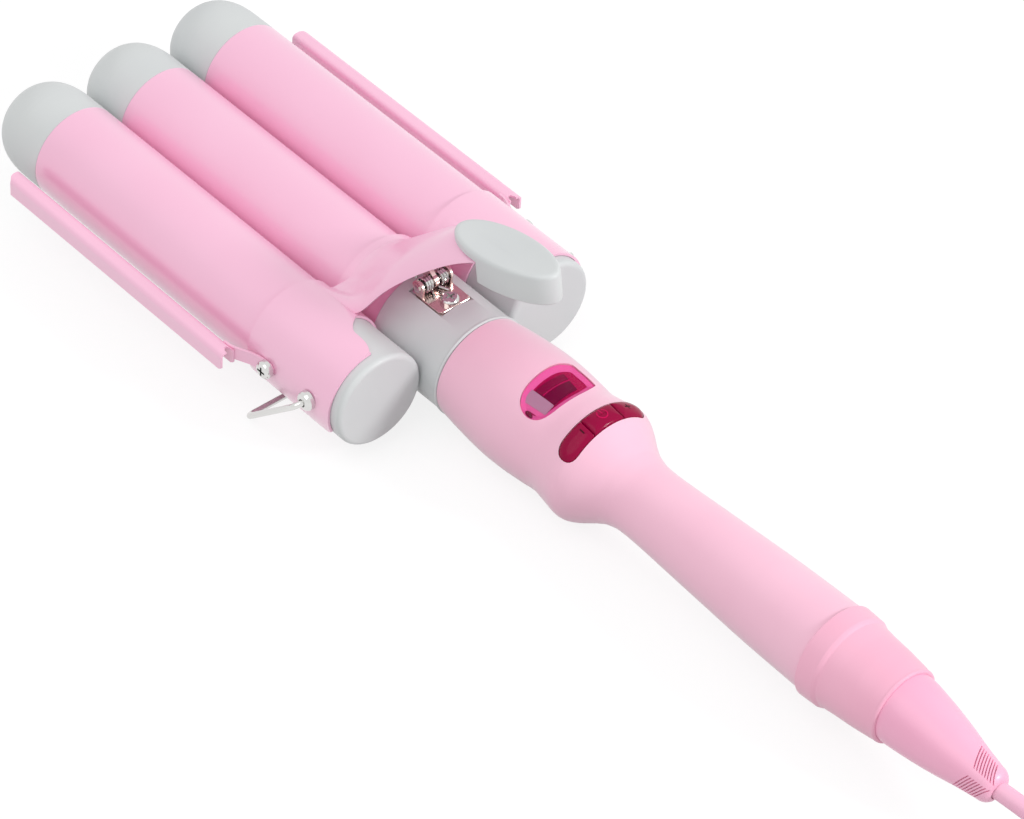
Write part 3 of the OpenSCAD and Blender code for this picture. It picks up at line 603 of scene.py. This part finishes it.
# %% A spot on the handle's surface
def radius_at(line, behind, beyond):
    """Radius of a turned line at a distance behind its start, or the one beyond its ends."""
    for a, b in zip(line, line[1:]):
        if a.x <= behind <= b.x:
            return a.y + (b.y - a.y) * (behind - a.x) / (b.x - a.x)
    return beyond


handle_line = flowing([(0, 17.3), (8, 18.35), (19, 19.3), (28, 19.3), (36, 18.7), (42, 18.2),
                       (48, 19.05), (53.2, 19.75), (57, 18.4), (63, 14.7), (68, 12.5)], 5)


def on_handle(x, y, lift=0.0):
    radius = radius_at(handle_line, -y, 17.3) + lift
    return (x, y, sqrt(max(0.01, radius * radius - x * x)))


def patch(name, corners, lift, thick, steps=10):
    """A thin plate under or on the crest, between four corners in plan."""
    a, b, c, d = (Vector((*p, 0)) for p in corners)
    plate = added(name, bpy.ops.mesh.primitive_grid_add, x_subdivisions=steps, y_subdivisions=steps,
                  size=1)
    for vert in plate.data.vertices:
        u, v = vert.co.x + 0.5, vert.co.y + 0.5
        flat = (a * (1 - u) + b * u) * (1 - v) + (d * (1 - u) + c * u) * v
        vert.co = spot(*on_handle(flat.x, flat.y, lift))
    face_up(plate)
    finish(plate, "SOLIDIFY", thickness=thick * mm, offset=-1.0)
    tidy_shell(plate, 40)
    return plate


# %% [markdown]
# ## The display window
#
# The window is a clear magenta lens set flush in the handle. Below it a bright bevelled
# frame leads down to a dark well, where the display's glass lies with a band of segments and
# a thin pink plate on it that paints the highlight along the display's upper edge. Beside the
# glass lie a lilac plate that paints a lamp's reflection, a pink plate next to it, and a small
# lamp. The lens is pulled from the window's outline inwards, below and above the crest.

# %% The lens and its frame
window_line = flowing([
    (-8.1, -40.65), (-4.9, -41), (-1.6, -41.2), (1.8, -41.2), (5.2, -40.85), (9, -39.6),
    (9.75, -38.6), (9.9, -35.2), (9.7, -32), (9.4, -29.3), (6.6, -28.1), (3.3, -27.6),
    (-1.1, -27.7), (-5.2, -28), (-8, -28.35), (-10.3, -29.1), (-12, -30.5), (-13, -32.4),
    (-13.3, -34.4), (-13.1, -36.4), (-12.2, -38.4), (-10.5, -39.9), (-8.1, -40.65)], 3)[:-1]
window_middle = (-1.7, -34.4)
window_half = (11.6, 6.8)


def drawn_in(outline, middle, half, inset, lift):
    """A ring on the handle: an outline drawn towards its middle by about a distance."""
    return [on_handle(middle[0] + (x - middle[0]) * (1 - inset / half[0]),
                      middle[1] + (y - middle[1]) * (1 - inset / half[1]), lift)
            for x, y in outline]


def window_ring(inset, lift):
    return drawn_in(window_line, window_middle, window_half, inset, lift)


inwards = (0.8, 1.5, 2.4, 3.3, 4.2, 5.1, 5.9, 6.5)
lens_under = [window_ring(inset, -0.5) for inset in reversed(inwards)]
lens_edge = [window_ring(inset, lift) for inset, lift in
             ((0.05, -0.5), (0.0, -0.4), (0.0, -0.2), (0.08, 0.0), (0.3, 0.1))]
lens_top = [window_ring(inset, 0.1) for inset in inwards]
window_lens = pulled("window_lens", lens_under + lens_edge + lens_top, smooth=40)
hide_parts("display_lens")
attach(window_lens, "handle")

bezel_section = [(0.0, -0.55), (0.15, -0.55), (1.1, -1.05), (1.9, -1.5), (2.0, -1.8), (0.0, -1.8),
                 (0.0, -0.55)]
bezel = pulled("window_bezel", [window_ring(*place) for place in bezel_section], looped=True)
well_floor = -1.62
well = pulled("window_well", [window_ring(1.5, -2.0), window_ring(1.5, well_floor),
                              *(window_ring(inset, well_floor) for inset in inwards[2:])],
              smooth=40)

# %% What lies under the lens
display_glass, segment_band, painted_edge_highlight, painted_reflection_plate, pink_plate_beside_reflection = (
    patch(*plate) for plate in (
        ("display_glass", [(-5.9, -38.6), (3.4, -38.1), (4.3, -31.1), (-6.7, -30.8)], -1.35, 0.4),
        ("segment_band", [(-6.2, -33.3), (3.4, -33.5), (3.9, -31.3), (-6.4, -31.1)], -1.3, 0.1),
        # A thin pink plate that paints the highlight along the display's upper edge.
        ("painted_edge_highlight", [(-6.1, -33.9), (4.4, -34.1), (4.4, -33.75), (-6.1, -33.55)], -1.26, 0.14),
        # A lilac plate that paints a lamp's reflection, and a pink plate beside it.
        ("painted_reflection_plate", [(-9.6, -38.8), (-6.1, -38.6), (-6.9, -29.8), (-10.7, -30.2)], -1.2, 0.4),
        ("pink_plate_beside_reflection", [(-10.9, -38.3), (-9.3, -38.9), (-10.4, -30.6), (-11.6, -31.5)], -1.3, 0.3)))
lamp_x, lamp_y, lamp_half_wide, lamp_half_long = -12.3, -34.7, 0.55, 1.5


def lamp_ring(size, lift):
    turns = [k * pi / 12 for k in range(24)]
    return [on_handle(lamp_x + size * lamp_half_wide * cos(a),
                      lamp_y + size * lamp_half_long * sin(a), lift) for a in turns]


lamp_dot = pulled("lamp_dot", [lamp_ring(0.8, -1.2), lamp_ring(1, -1.1), lamp_ring(1, -0.72),
                               lamp_ring(0.85, -0.62), lamp_ring(0.5, -0.58)])
for piece in (bezel, well, display_glass, segment_band, painted_edge_highlight, painted_reflection_plate, pink_plate_beside_reflection,
              lamp_dot):
    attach(piece, "handle")
count_faces(window_lens)

# %% [markdown]
# ## The keys
#
# Three keys share one rounded band across the crest. Each is pulled from its own outline:
# up its side, over a rounded edge and across its top, which follows the handle. Their
# generic signs are thin raised bars.

# %% Outline of one key
key_low, key_high, key_end_r, key_corner_r = (-16.0, -56.8), (14.8, -50.2), 3.2, 0.25


def key_outline(x_from, x_to):
    """The band's outline between two places across, round only where the band ends."""
    points = []

    def corner(x, y, start, r):
        for k in range(9):
            a = radians(start + 90 * k / 8)
            points.append((x + r * cos(a), y + r * sin(a)))
    left_r = key_end_r if x_from <= key_low[0] else key_corner_r
    right_r = key_end_r if x_to >= key_high[0] else key_corner_r
    corner(x_from + left_r, key_low[1] + left_r, 180, left_r)
    points.extend((x_from + (x_to - x_from) * k / 8, key_low[1]) for k in range(2, 7))
    corner(x_to - right_r, key_low[1] + right_r, 270, right_r)
    corner(x_to - right_r, key_high[1] - right_r, 0, right_r)
    points.extend((x_to - (x_to - x_from) * k / 8, key_high[1]) for k in range(2, 7))
    corner(x_from + left_r, key_high[1] - left_r, 90, left_r)
    return points


key_section = [(0.3, -2.3), (0, -2.0), (0, -0.35), (0.08, -0.05), (0.28, 0.2), (0.6, 0.32),
               (1.0, 0.35), (1.6, 0.35), (2.2, 0.35), (2.8, 0.35)]


def key_piece(name, node, x_from, x_to):
    outline = key_outline(x_from, x_to)
    middle = ((x_from + x_to) / 2, (key_low[1] + key_high[1]) / 2)
    half = ((x_to - x_from) / 2, (key_high[1] - key_low[1]) / 2)
    rings = [drawn_in(outline, middle, half, *place) for place in key_section]
    piece = pulled(name, rings, smooth=50)
    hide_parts(node)
    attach(piece, node.replace("_key", ""))
    return piece


minus_cap = key_piece("minus_cap", "minus_key", key_low[0], -6.4)
power_cap = key_piece("power_cap", "power_key", -6.2, 5.0)
plus_cap = key_piece("plus_cap", "plus_key", 5.2, key_high[0])

# %% Signs on the keys
sign_lift, sign_thick = 0.4, 0.16
power_middle, ring_radius, ring_width = (-0.4, -53.0), 1.8, 0.35


def sign_bar(name, x_low, y_low, x_high, y_high):
    """A thin raised bar of a sign."""
    corners = [(x_low, y_low), (x_high, y_low), (x_high, y_high), (x_low, y_high)]
    return patch(name, corners, sign_lift, sign_thick, 6)


def ring_sign(start, end, steps=40):
    """The open ring of the power sign, between two angles in degrees."""
    foot, inner = sign_lift - sign_thick, ring_radius - ring_width
    section = ((ring_radius, foot), (ring_radius, sign_lift), (inner, sign_lift), (inner, foot))
    rings = []
    for k in range(steps + 1):
        a = radians(start + (end - start) * k / steps)
        rings.append([on_handle(power_middle[0] + r * cos(a), power_middle[1] + r * sin(a),
                                lift) for r, lift in section])
    return pulled("power_ring", rings)


minus_sign = sign_bar("minus_sign", -8.8, -54.5, -8.45, -52.5)
plus_sign = joined("plus_sign", [sign_bar("plus_across", 8.4, -53.7, 10.4, -53.35),
                                 sign_bar("plus_along", 9.23, -54.5, 9.58, -52.5)])
power_ring = ring_sign(120, 420)
power_bar = sign_bar("power_bar", -0.57, -53.0, -0.23, -51.0)
power_sign = joined("power_sign", [power_ring, power_bar])
for sign, body in ((minus_sign, "minus"), (power_sign, "power"), (plus_sign, "plus")):
    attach(sign, body)
print("keys and signs")

# %% [markdown]
# ## The neck
#
# The neck is a moulded grey collar between handle and barrels, with a flat seat for the
# hinge plate. A small rounded lip runs round it just before the handle, and a fine groove
# parts the two. It is turned in one go and the seat is cut.

# %% The neck
neck_r, neck_front = 17.25, 30.6
lip = [(0, 15.1), (0, 16.2), (0.25, 16.2), *quarter(0.9, 17.0, 0.6, -90, 60, 6), (1.9, 17.22)]
front_edge = [*quarter(29.8, 16.45, 0.8, 15, 90, 5), (neck_front, 16.02)]
bore = [(24, 16.02), (22, 14.9), (22, 9), (-14, 9), (-14, 15.1)]
neck_line = [(-14, 15.1), *lip, (15, neck_r), (29.8, neck_r), *front_edge, *bore]
turned_neck = turned("turned_neck", neck_line, around=192)
cut(turned_neck, bar((-6.4, 11.4, 15.2), (6.4, 26.4, 25)))
break_edges(turned_neck, 0.15, 60)
shade(turned_neck, 40)
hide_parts("neck")
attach(turned_neck, "handle")
count_faces(turned_neck)

# %% [markdown]
# ## The hinge plate
#
# The base of the hinge is a zinc-plated stamping: a flat plate under the screw whose rear
# edge is folded up a little and notched at its corners, and two ears that hold the pin.
# The outline is pulled to a plate and its edges are bevelled, as a stamping's are.

# %% The hinge plate and its ears
pin_y, pin_z, ear_r = 22.9, 19.2, 2.5
plate_low, plate_high, plate_half, plate_rear, notch_y = 15.2, 16.4, 6.1, 11.8, 12.9
plate = prism([(-plate_half, notch_y), (-5.3, notch_y), (-5.3, plate_rear), (5.3, plate_rear),
               (5.3, notch_y), (plate_half, notch_y), (plate_half, 23.5), (-plate_half, 23.5)],
              "z", plate_low, plate_high)
fold = prism([(plate_rear, 16.2), (12.5, 16.2), (12.5, 16.75), (12.3, 17), (12.0, 17),
              (plate_rear, 16.75)], "x", -5.2, 5.2)
ear_top = [(pin_y + ear_r * sin(radians(a)), pin_z + ear_r * cos(radians(a)))
           for a in range(-112, 92, 8)]
ears = [prism([(20.6, 15.9), *ear_top, (23.4, 15.9)], "x", inner, outer)
        for inner, outer in ((-plate_half, -5.1), (5.1, plate_half))]
for piece in (plate, fold, *ears):
    break_edges(piece, 0.18, 40)
hinge_stamping = joined("hinge_stamping", [plate, fold, *ears])
shade(hinge_stamping, 40)
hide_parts("hinge_base")
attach(hinge_stamping, "handle")
count_faces(hinge_stamping)

# %% [markdown]
# ## The cord boot
#
# The boot is a soft moulding that keeps the cord from kinking. Near its end eight short
# slots on each side let it bend; a smooth strip between the two rows stays whole. The skin
# is pulled through rings about the boot's own drooping axis, and the slots are cut with
# pieces of a ring.

# %% The boot
boot_droop = radians(4)
boot_mouth = Vector((0, -180.6, 0))


def along_boot(x, y, z):
    """A spot of the boot's own frame, whose axis droops behind the end cap."""
    return (x, boot_mouth.y + y * cos(boot_droop) - z * sin(boot_droop),
            y * sin(boot_droop) + z * cos(boot_droop))


def boot_ring(y, radius, around=128):
    turns = [2 * pi * k / around for k in range(around)]
    return [along_boot(radius * sin(a), y, radius * cos(a)) for a in turns]


boot_line = flowing([(0, 11.4), (3, 11.25), (8.6, 10.55), (14.6, 9.62), (20.6, 8.48), (26.7, 7.15),
                     (33.2, 5.95), (33.8, 5.83)], 6)
boot_line += [Vector((33.8 + 3.8 * sin(radians(a)), 2.93 + 2.9 * cos(radians(a))))
              for a in range(10, 91, 10)]
boot_neck = [(6.6, 3.2), (6.6, 12.2), (4, 12.2), (4, 11.4)]
boot_wall = [*boot_neck, *((-p.x, p.y) for p in boot_line), boot_neck[0]]
slotted_boot = pulled("slotted_boot", [boot_ring(*place) for place in boot_wall], looped=True)

# %% Its slots
strip_angle, half_strip = -47, 11
slots_a_side, slot_first, slot_pitch, slot_width, slot_deep = 8, 30.3, 0.98, 0.42, 0.8
slot_turn, slot_sweep, slot_steps = 60, 0.062, 16


def slot_cutter(side, number):
    """A piece of a ring that leans forward as it goes round, and is shallow at both ends."""
    rings = []
    for step in range(slot_steps + 1):
        turned_by = slot_turn * step / slot_steps
        behind = slot_first + slot_pitch * number - slot_sweep * turned_by
        a = radians(strip_angle + side * (half_strip + turned_by))
        radius = radius_at(boot_line, behind, 5.6)
        floor_r = radius - slot_deep * min(1.0, 0.25 + step / 3, 0.25 + (slot_steps - step) / 3)
        near, far = behind - slot_width / 2, behind + slot_width / 2
        section = ((floor_r, near), (radius + 1.5, near), (radius + 1.5, far), (floor_r, far))
        rings.append([along_boot(r * sin(a), -y, r * cos(a)) for r, y in section])
    return pulled("slot", rings)


slots = [slot_cutter(side, number) for side in (1, -1) for number in range(slots_a_side)]
cut(slotted_boot, joined("slots", slots), "MANIFOLD")
shade(slotted_boot, 35)
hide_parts("cord_boot")
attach(slotted_boot, "boot")
count_faces(slotted_boot)

# %% [markdown]
# ## Finishes
#
# Each finish starts from what the real one is. One function turns a hex colour as a person
# reads it into the linear values of the shader, one starts a named finish, and one adds a
# node with its settings and its links. Three more make what the finishes share: a slow drift
# between two near colours, a fine relief that the light catches, and a gloss that varies.


# %% Colour and nodes
def linear(hex_colour):
    channels = [int(hex_colour[i:i + 2], 16) / 255 for i in (1, 3, 5)]
    return (*[c / 12.92 if c <= 0.04045 else ((c + 0.055) / 1.055) ** 2.4 for c in channels], 1)


def add_node(finish_of, kind, inputs=None, **settings):
    node = finish_of.node_tree.nodes.new(kind)
    for name, value in settings.items():
        setattr(node, name, value)
    for name, value in (inputs or {}).items():
        if isinstance(value, bpy.types.NodeSocket):
            finish_of.node_tree.links.new(value, node.inputs[name])
        else:
            node.inputs[name].default_value = value
    return node


def new_finish(name):
    """An empty finish, and the place of each point of a piece, in metres."""
    made = bpy.data.materials.new(name)
    made.use_nodes = True
    made.node_tree.nodes.clear()
    place = add_node(made, "ShaderNodeTexCoord").outputs["Object"]
    return made, place


def per(size_mm):
    """The scale of a pattern whose features are this far apart."""
    return 1 / (size_mm * mm)


def drift(made, place, size_mm, tones, stops):
    """A slow cloud: its value, and the colour that it shifts from one tone to the other."""
    cloud = add_node(made, "ShaderNodeTexNoise", {"Vector": place, "Scale": per(size_mm),
                                                  "Detail": 2.0})
    tone = add_node(made, "ShaderNodeValToRGB", {"Fac": cloud.outputs["Fac"]})
    for stop, position, hex_colour in zip(tone.color_ramp.elements, stops, tones):
        stop.position, stop.color = position, linear(hex_colour)
    return cloud.outputs["Fac"], tone.outputs["Color"]


def relief(made, place, size_mm, detail, strength, depth_mm):
    """A fine pattern: its value, and the surface that it raises by up to a depth."""
    grain = add_node(made, "ShaderNodeTexNoise", {"Vector": place, "Scale": per(size_mm),
                                                  "Detail": detail})
    skin = add_node(made, "ShaderNodeBump", {"Height": grain.outputs["Fac"], "Strength": strength,
                                             "Distance": depth_mm * mm})
    return grain.outputs["Fac"], skin.outputs["Normal"]


def surface(made, wear, roughness, inputs, span=(0.3, 0.7)):
    """The shader of a finish, whose roughness goes from one value to another with a pattern."""
    rough = add_node(made, "ShaderNodeMapRange", {
        "Value": wear, "From Min": span[0], "From Max": span[1], "To Min": roughness[0],
        "To Max": roughness[1]})
    shader = add_node(made, "ShaderNodeBsdfPrincipled",
                      {"Roughness": rough.outputs["Result"], **inputs})
    add_node(made, "ShaderNodeOutputMaterial", {"Surface": shader.outputs["BSDF"]})
    return made


# %% [markdown]
# ### Gloss lacquer on the barrels and the clamp
#
# The barrels are aluminium tubes and the clamp is pressed steel, both under a pale pink
# baked enamel. Sprayed enamel has a faint orange peel a few millimetres wide, a clear upper
# skin that mirrors softly, and slow changes of gloss where hands and hair have polished it.


# %% Enamel
def enamel(name, pale, deep, roughness):
    made, place = new_finish(name)
    cloud, tone = drift(made, place, 38, (deep, pale), (0.2, 0.8))
    skin = relief(made, place, 2.6, 1.5, 0.06, 0.2)[1]
    return surface(made, cloud, (roughness - 0.03, roughness + 0.04), {
        "Base Color": tone, "Metallic": 0.1, "Normal": skin, "Coat Weight": 0.8, "Coat IOR": 1.65,
        "Coat Roughness": 0.3}, (0.1, 0.9))


barrel_enamel = enamel("enamelled_aluminium", "#FAC1DC", "#F8BCD8", 0.3)
clamp_enamel = enamel("enamelled_pressed_steel", "#FBC3DD", "#F9BDD9", 0.28)

# %% [markdown]
# ### Moulded plastics
#
# Caps, neck and pad are a cool grey ABS with the fine spark-eroded grain of their mould. The
# handle is ABS under a soft-touch coat, which is matt and catches light at its edges like
# felt. The boot is softer, shinier PVC. Grain of a tenth of a millimetre is too fine to
# show here, so it is drawn about half a millimetre wide.


# %% Moulded plastic
def moulded(name, colour, deep, roughness, grain_mm, grain_depth, sheen=0.0, coat=0.0):
    made, place = new_finish(name)
    tone = drift(made, place, 30, (deep, colour), (0.35, 0.65))[1]
    grain, skin = relief(made, place, grain_mm, 3.0, 0.35, grain_depth)
    return surface(made, grain, (roughness - 0.05, roughness + 0.05), {
        "Base Color": tone, "Normal": skin, "IOR": 1.53, "Sheen Weight": sheen,
        "Sheen Roughness": 0.4, "Coat Weight": coat, "Coat Roughness": 0.2})


grey_abs = moulded("grey_moulded_abs", "#D6D9D9", "#D2D5D6", 0.42, 0.5, 0.03)
soft_touch = moulded("soft_touch_pink", "#FAC5DA", "#F8C1D7", 0.58, 0.5, 0.03, sheen=0.8)
end_cap_abs = moulded("soft_touch_end_cap", "#F8B8D0", "#F6B3CC", 0.52, 0.5, 0.03, sheen=0.5)
boot_pvc = moulded("boot_pvc", "#FAB6D2", "#F8B0CE", 0.4, 0.7, 0.03, coat=0.25)
cord_pvc = moulded("cord_pvc", "#F6BBD4", "#F3B5D0", 0.48, 0.8, 0.04)
plug_pvc = moulded("plug_pvc", "#F2B6CF", "#EFB1CB", 0.45, 0.8, 0.04)
inner_abs = moulded("natural_abs", "#E6E4DF", "#DEDBD5", 0.5, 0.6, 0.03)
black_abs = moulded("black_abs", "#232326", "#1B1B1E", 0.45, 0.6, 0.03)
strap_nylon = moulded("strap_nylon", "#F4F1F2", "#E9E5E7", 0.75, 0.6, 0.12, sheen=0.4)

# %% [markdown]
# ### Metals
#
# Screws, bushes, springs and the wire rest are bright nickel over steel; the hinge plates
# are zinc plated and duller, with the fine lines of rolling and a pink tint in their colour
# that partly paints the reflection of the pink arch; the pins of the plug are nickelled brass.
# Drawn wire and rolled sheet have streaks along their length.


# %% Plated metal
def plated(name, colour, roughness, streak_mm, streak_depth):
    made, place = new_finish(name)
    along = add_node(made, "ShaderNodeMapping", {"Vector": place, "Scale": (1.0, 0.12, 1.0)})
    skin = relief(made, along.outputs["Vector"], streak_mm, 3.0, 0.4, streak_depth)[1]
    spots = add_node(made, "ShaderNodeTexNoise", {"Vector": place, "Scale": per(3), "Detail": 2.0})
    return surface(made, spots.outputs["Fac"], (roughness * 0.75, roughness * 1.3), {
        "Base Color": linear(colour), "Metallic": 1.0, "Normal": skin})


bright_nickel = plated("bright_nickel", "#DADAD8", 0.12, 0.5, 0.01)
# The pink tint of this colour partly paints the reflection of the pink arch above the hinge.
zinc_and_painted_reflection = plated("zinc_plated_steel", "#E6CFCA", 0.2, 0.35, 0.02)
mill_aluminium = plated("mill_aluminium", "#D2D3D2", 0.4, 0.4, 0.03)
contact_brass = plated("contact_brass", "#D9B56A", 0.3, 0.4, 0.02)
pin_nickel = plated("nickelled_brass", "#D8D5CC", 0.22, 0.5, 0.02)

# %% [markdown]
# ### Clear tinted plastics and the board
#
# The display's lens is clear acrylic dyed magenta, polished on both faces. The keys are the
# same plastic dyed so deep that nothing shows through it. What lies under the lens is dark or
# bright plastic with little gloss, besides a lilac plate that paints a lamp's reflection and a
# pink one that paints an edge highlight. The circuit board is glass-epoxy under green mask,
# with its copper tracks as faint ridges.


# %% Tinted acrylic, keys and board
def tinted_acrylic(name, colour, roughness, gloss=0.3, cover=1.0):
    """Gloss is the strength of the polish; cover is how much the dye hides what lies below."""
    made, place = new_finish(name)
    ripple, skin = relief(made, place, 4, 1.0, 0.05, 0.1)
    return surface(made, ripple, (roughness, roughness + 0.04), {
        "Base Color": linear(colour), "Alpha": cover, "IOR": 1.49, "Specular IOR Level": gloss,
        "Normal": skin})


lens_acrylic = tinted_acrylic("magenta_acrylic", "#D0106A", 0.03, 0.14, cover=0.12)
key_acrylic = tinted_acrylic("crimson_acrylic", "#96003C", 0.14, 0.13)
bezel_acrylic = tinted_acrylic("pink_bezel_acrylic", "#FF70BE", 0.15)
# A lilac colour that paints a lamp's reflection under the lens.
painted_reflection_lilac = tinted_acrylic("lilac_painted_reflection", "#B89CB8", 0.2)
lamp_acrylic = tinted_acrylic("crimson_lamp", "#3A0216", 0.1)
lcd_segments = tinted_acrylic("lcd_segments", "#6A0C2C", 0.3, 0.1)
sign_ink = tinted_acrylic("sign_print", "#3C0818", 0.3, 0.1)
# The pink of the power sign's print, also used for the plate that paints the display's edge
# highlight.
pink_print_and_highlight = tinted_acrylic("power_print_and_painted_highlight", "#C80C54", 0.3, 0.1)
well_abs = tinted_acrylic("crimson_well", "#AA0044", 0.4, 0.1)
lcd_glass = tinted_acrylic("lcd_glass", "#34081A", 0.3, 0.1)

board_mask, place = new_finish("green_solder_mask")
tracks = add_node(board_mask, "ShaderNodeTexBrick", {
    "Vector": place, "Scale": per(3.2), "Mortar Size": 0.06, "Color1": linear("#1E6B3C"),
    "Color2": linear("#1B6237"), "Mortar": linear("#2F8A55")})
ridges = add_node(board_mask, "ShaderNodeBump", {"Height": tracks.outputs["Fac"], "Strength": 0.5,
                                                 "Distance": 0.05 * mm}, invert=True)
mask = add_node(board_mask, "ShaderNodeBsdfPrincipled", {
    "Base Color": tracks.outputs["Color"], "Roughness": 0.32, "Normal": ridges.outputs["Normal"]})
add_node(board_mask, "ShaderNodeOutputMaterial", {"Surface": mask.outputs["BSDF"]})

# %% [markdown]
# ### Finishes on the engineering solids
#
# Solids whose shape is already right keep their mesh and get their finish here, and so do
# those that are never seen.

# %% Dress the solids
def dress(piece, finish_of):
    piece.data.materials.clear()
    piece.data.materials.append(finish_of)


solid_finishes = {
    soft_touch: "handle_shell", end_cap_abs: "end_cap", boot_pvc: "cord_boot",
    grey_abs: "neck thumb_pad center_tip_cap left_tip_cap right_tip_cap left_rear_cap "
              "right_rear_cap",
    barrel_enamel: "center_barrel left_barrel right_barrel",
    clamp_enamel: "clamp_bracket left_guard right_guard",
    zinc_and_painted_reflection: "hinge_base hinge_leaf",
    bright_nickel: "hinge_screw hinge_pin clamp_spring guard_screws rest_bushes rest_wire",
    mill_aluminium: "center_heater left_heater right_heater",
    lens_acrylic: "display_lens", key_acrylic: "minus_key power_key plus_key",
    board_mask: "control_board", black_abs: "display_module key_switches",
    inner_abs: "board_carrier", contact_brass: "slip_ring", cord_pvc: "cord cord_coil",
    strap_nylon: "cord_tie", plug_pvc: "plug_body", pin_nickel: "plug_pins"}
for finish_of, names in solid_finishes.items():
    for name in names.split():
        dress(nodes[name], finish_of)

# %% Dress the pieces
piece_finishes = [
    ("clamp_coat", clamp_enamel, pressed_bracket),
    ("grey_plastic", grey_abs, moulded_pad, turned_neck),
    ("zinc_steel", zinc_and_painted_reflection, hinge_stamping), ("boot_skin", boot_pvc, slotted_boot),
    ("cord_jacket", cord_pvc, mains_cord), ("strap", strap_nylon, coil_strap),
    ("plug_plastic", plug_pvc, moulded_plug), ("lens", lens_acrylic, window_lens),
    ("lens", bezel_acrylic, bezel, pink_plate_beside_reflection), ("lens", painted_reflection_lilac, painted_reflection_plate),
    ("lens", lamp_acrylic, lamp_dot), ("dark_plastic", well_abs, well),
    ("dark_plastic", lcd_glass, display_glass), ("dark_plastic", lcd_segments, segment_band),
    ("dark_plastic", pink_print_and_highlight, painted_edge_highlight),
    ("key_cap", key_acrylic, minus_cap, power_cap, plus_cap),
    ("key_cap", sign_ink, minus_sign, plus_sign), ("key_cap", pink_print_and_highlight, power_sign)]
for slot_name, finish_of, *pieces in piece_finishes:
    for piece in pieces:
        dress(piece, finish_of)
print(len(nodes), "solids dressed, and pieces in", len(piece_finishes), "finishes and slots")

# %% [markdown]
# ## Floor and light
#
# The tool lies on a plain pale floor under two soft lamps. The lamps and the world are set
# so that a colour comes out about as it is written. What the eye, a mirror or a clear piece
# sees behind the tool is made white in the floor's and the world's own nodes, not with more
# light, and the floor keeps the tool's faint shadow.


# %% Floor
def seen_behind(tree_of):
    """1 for the rays that show the background: from the camera, mirrored or let through."""
    ray = add_node(tree_of, "ShaderNodeLightPath")
    seen = ray.outputs["Is Camera Ray"]
    for kind in ("Is Glossy Ray", "Is Transmission Ray"):
        more = add_node(tree_of, "ShaderNodeMath", {0: seen, 1: ray.outputs[kind]},
                        operation="MAXIMUM")
        seen = more.outputs[0]
    return seen


floor = added("floor", bpy.ops.mesh.primitive_plane_add, size=12, location=(0, 0, -0.0004))
seat(floor)
floor_paper, place = new_finish("floor_paper")
paper = add_node(floor_paper, "ShaderNodeBsdfDiffuse", {"Color": (0.55, 0.55, 0.55, 1)})
shadowed = add_node(floor_paper, "ShaderNodeBsdfDiffuse", {"Color": (0.22, 0.22, 0.22, 1)})
glow = add_node(floor_paper, "ShaderNodeEmission", {"Color": (1, 1, 1, 1), "Strength": 0.82})
white = add_node(floor_paper, "ShaderNodeAddShader", {0: shadowed.outputs[0], 1: glow.outputs[0]})
both = add_node(floor_paper, "ShaderNodeMixShader", {
    0: seen_behind(floor_paper), 1: paper.outputs[0], 2: white.outputs[0]})
add_node(floor_paper, "ShaderNodeOutputMaterial", {"Surface": both.outputs[0]})
dress(floor, floor_paper)

# %% World and lamps
world = bpy.data.worlds.new("studio")
bpy.context.scene.world = world
world.use_nodes = True
world.node_tree.nodes.clear()
strength = add_node(world, "ShaderNodeMapRange", {"Value": seen_behind(world), "To Min": 0.72})
sky = add_node(world, "ShaderNodeBackground", {"Color": (1, 1, 1, 1),
                                               "Strength": strength.outputs[0]})
add_node(world, "ShaderNodeOutputWorld", {"Surface": sky.outputs[0]})


def soft_lamp(name, place, size, power):
    """A round lamp that aims at the tool."""
    lamp = added(name, bpy.ops.object.light_add, type="AREA", location=place)
    lamp.data.shape = "DISK"
    lamp.data.size = size
    lamp.data.energy = power
    lamp.rotation_mode = "QUATERNION"
    lamp.rotation_quaternion = (-Vector(place)).to_track_quat("-Z", "Y")


soft_lamp("key_lamp", (0.75, -1.35, 0.85), 0.4, 13)
soft_lamp("fill_lamp", (-0.9, 0.0, 1.3), 1.4, 5)

bpy.context.scene.view_settings.view_transform = "Standard"
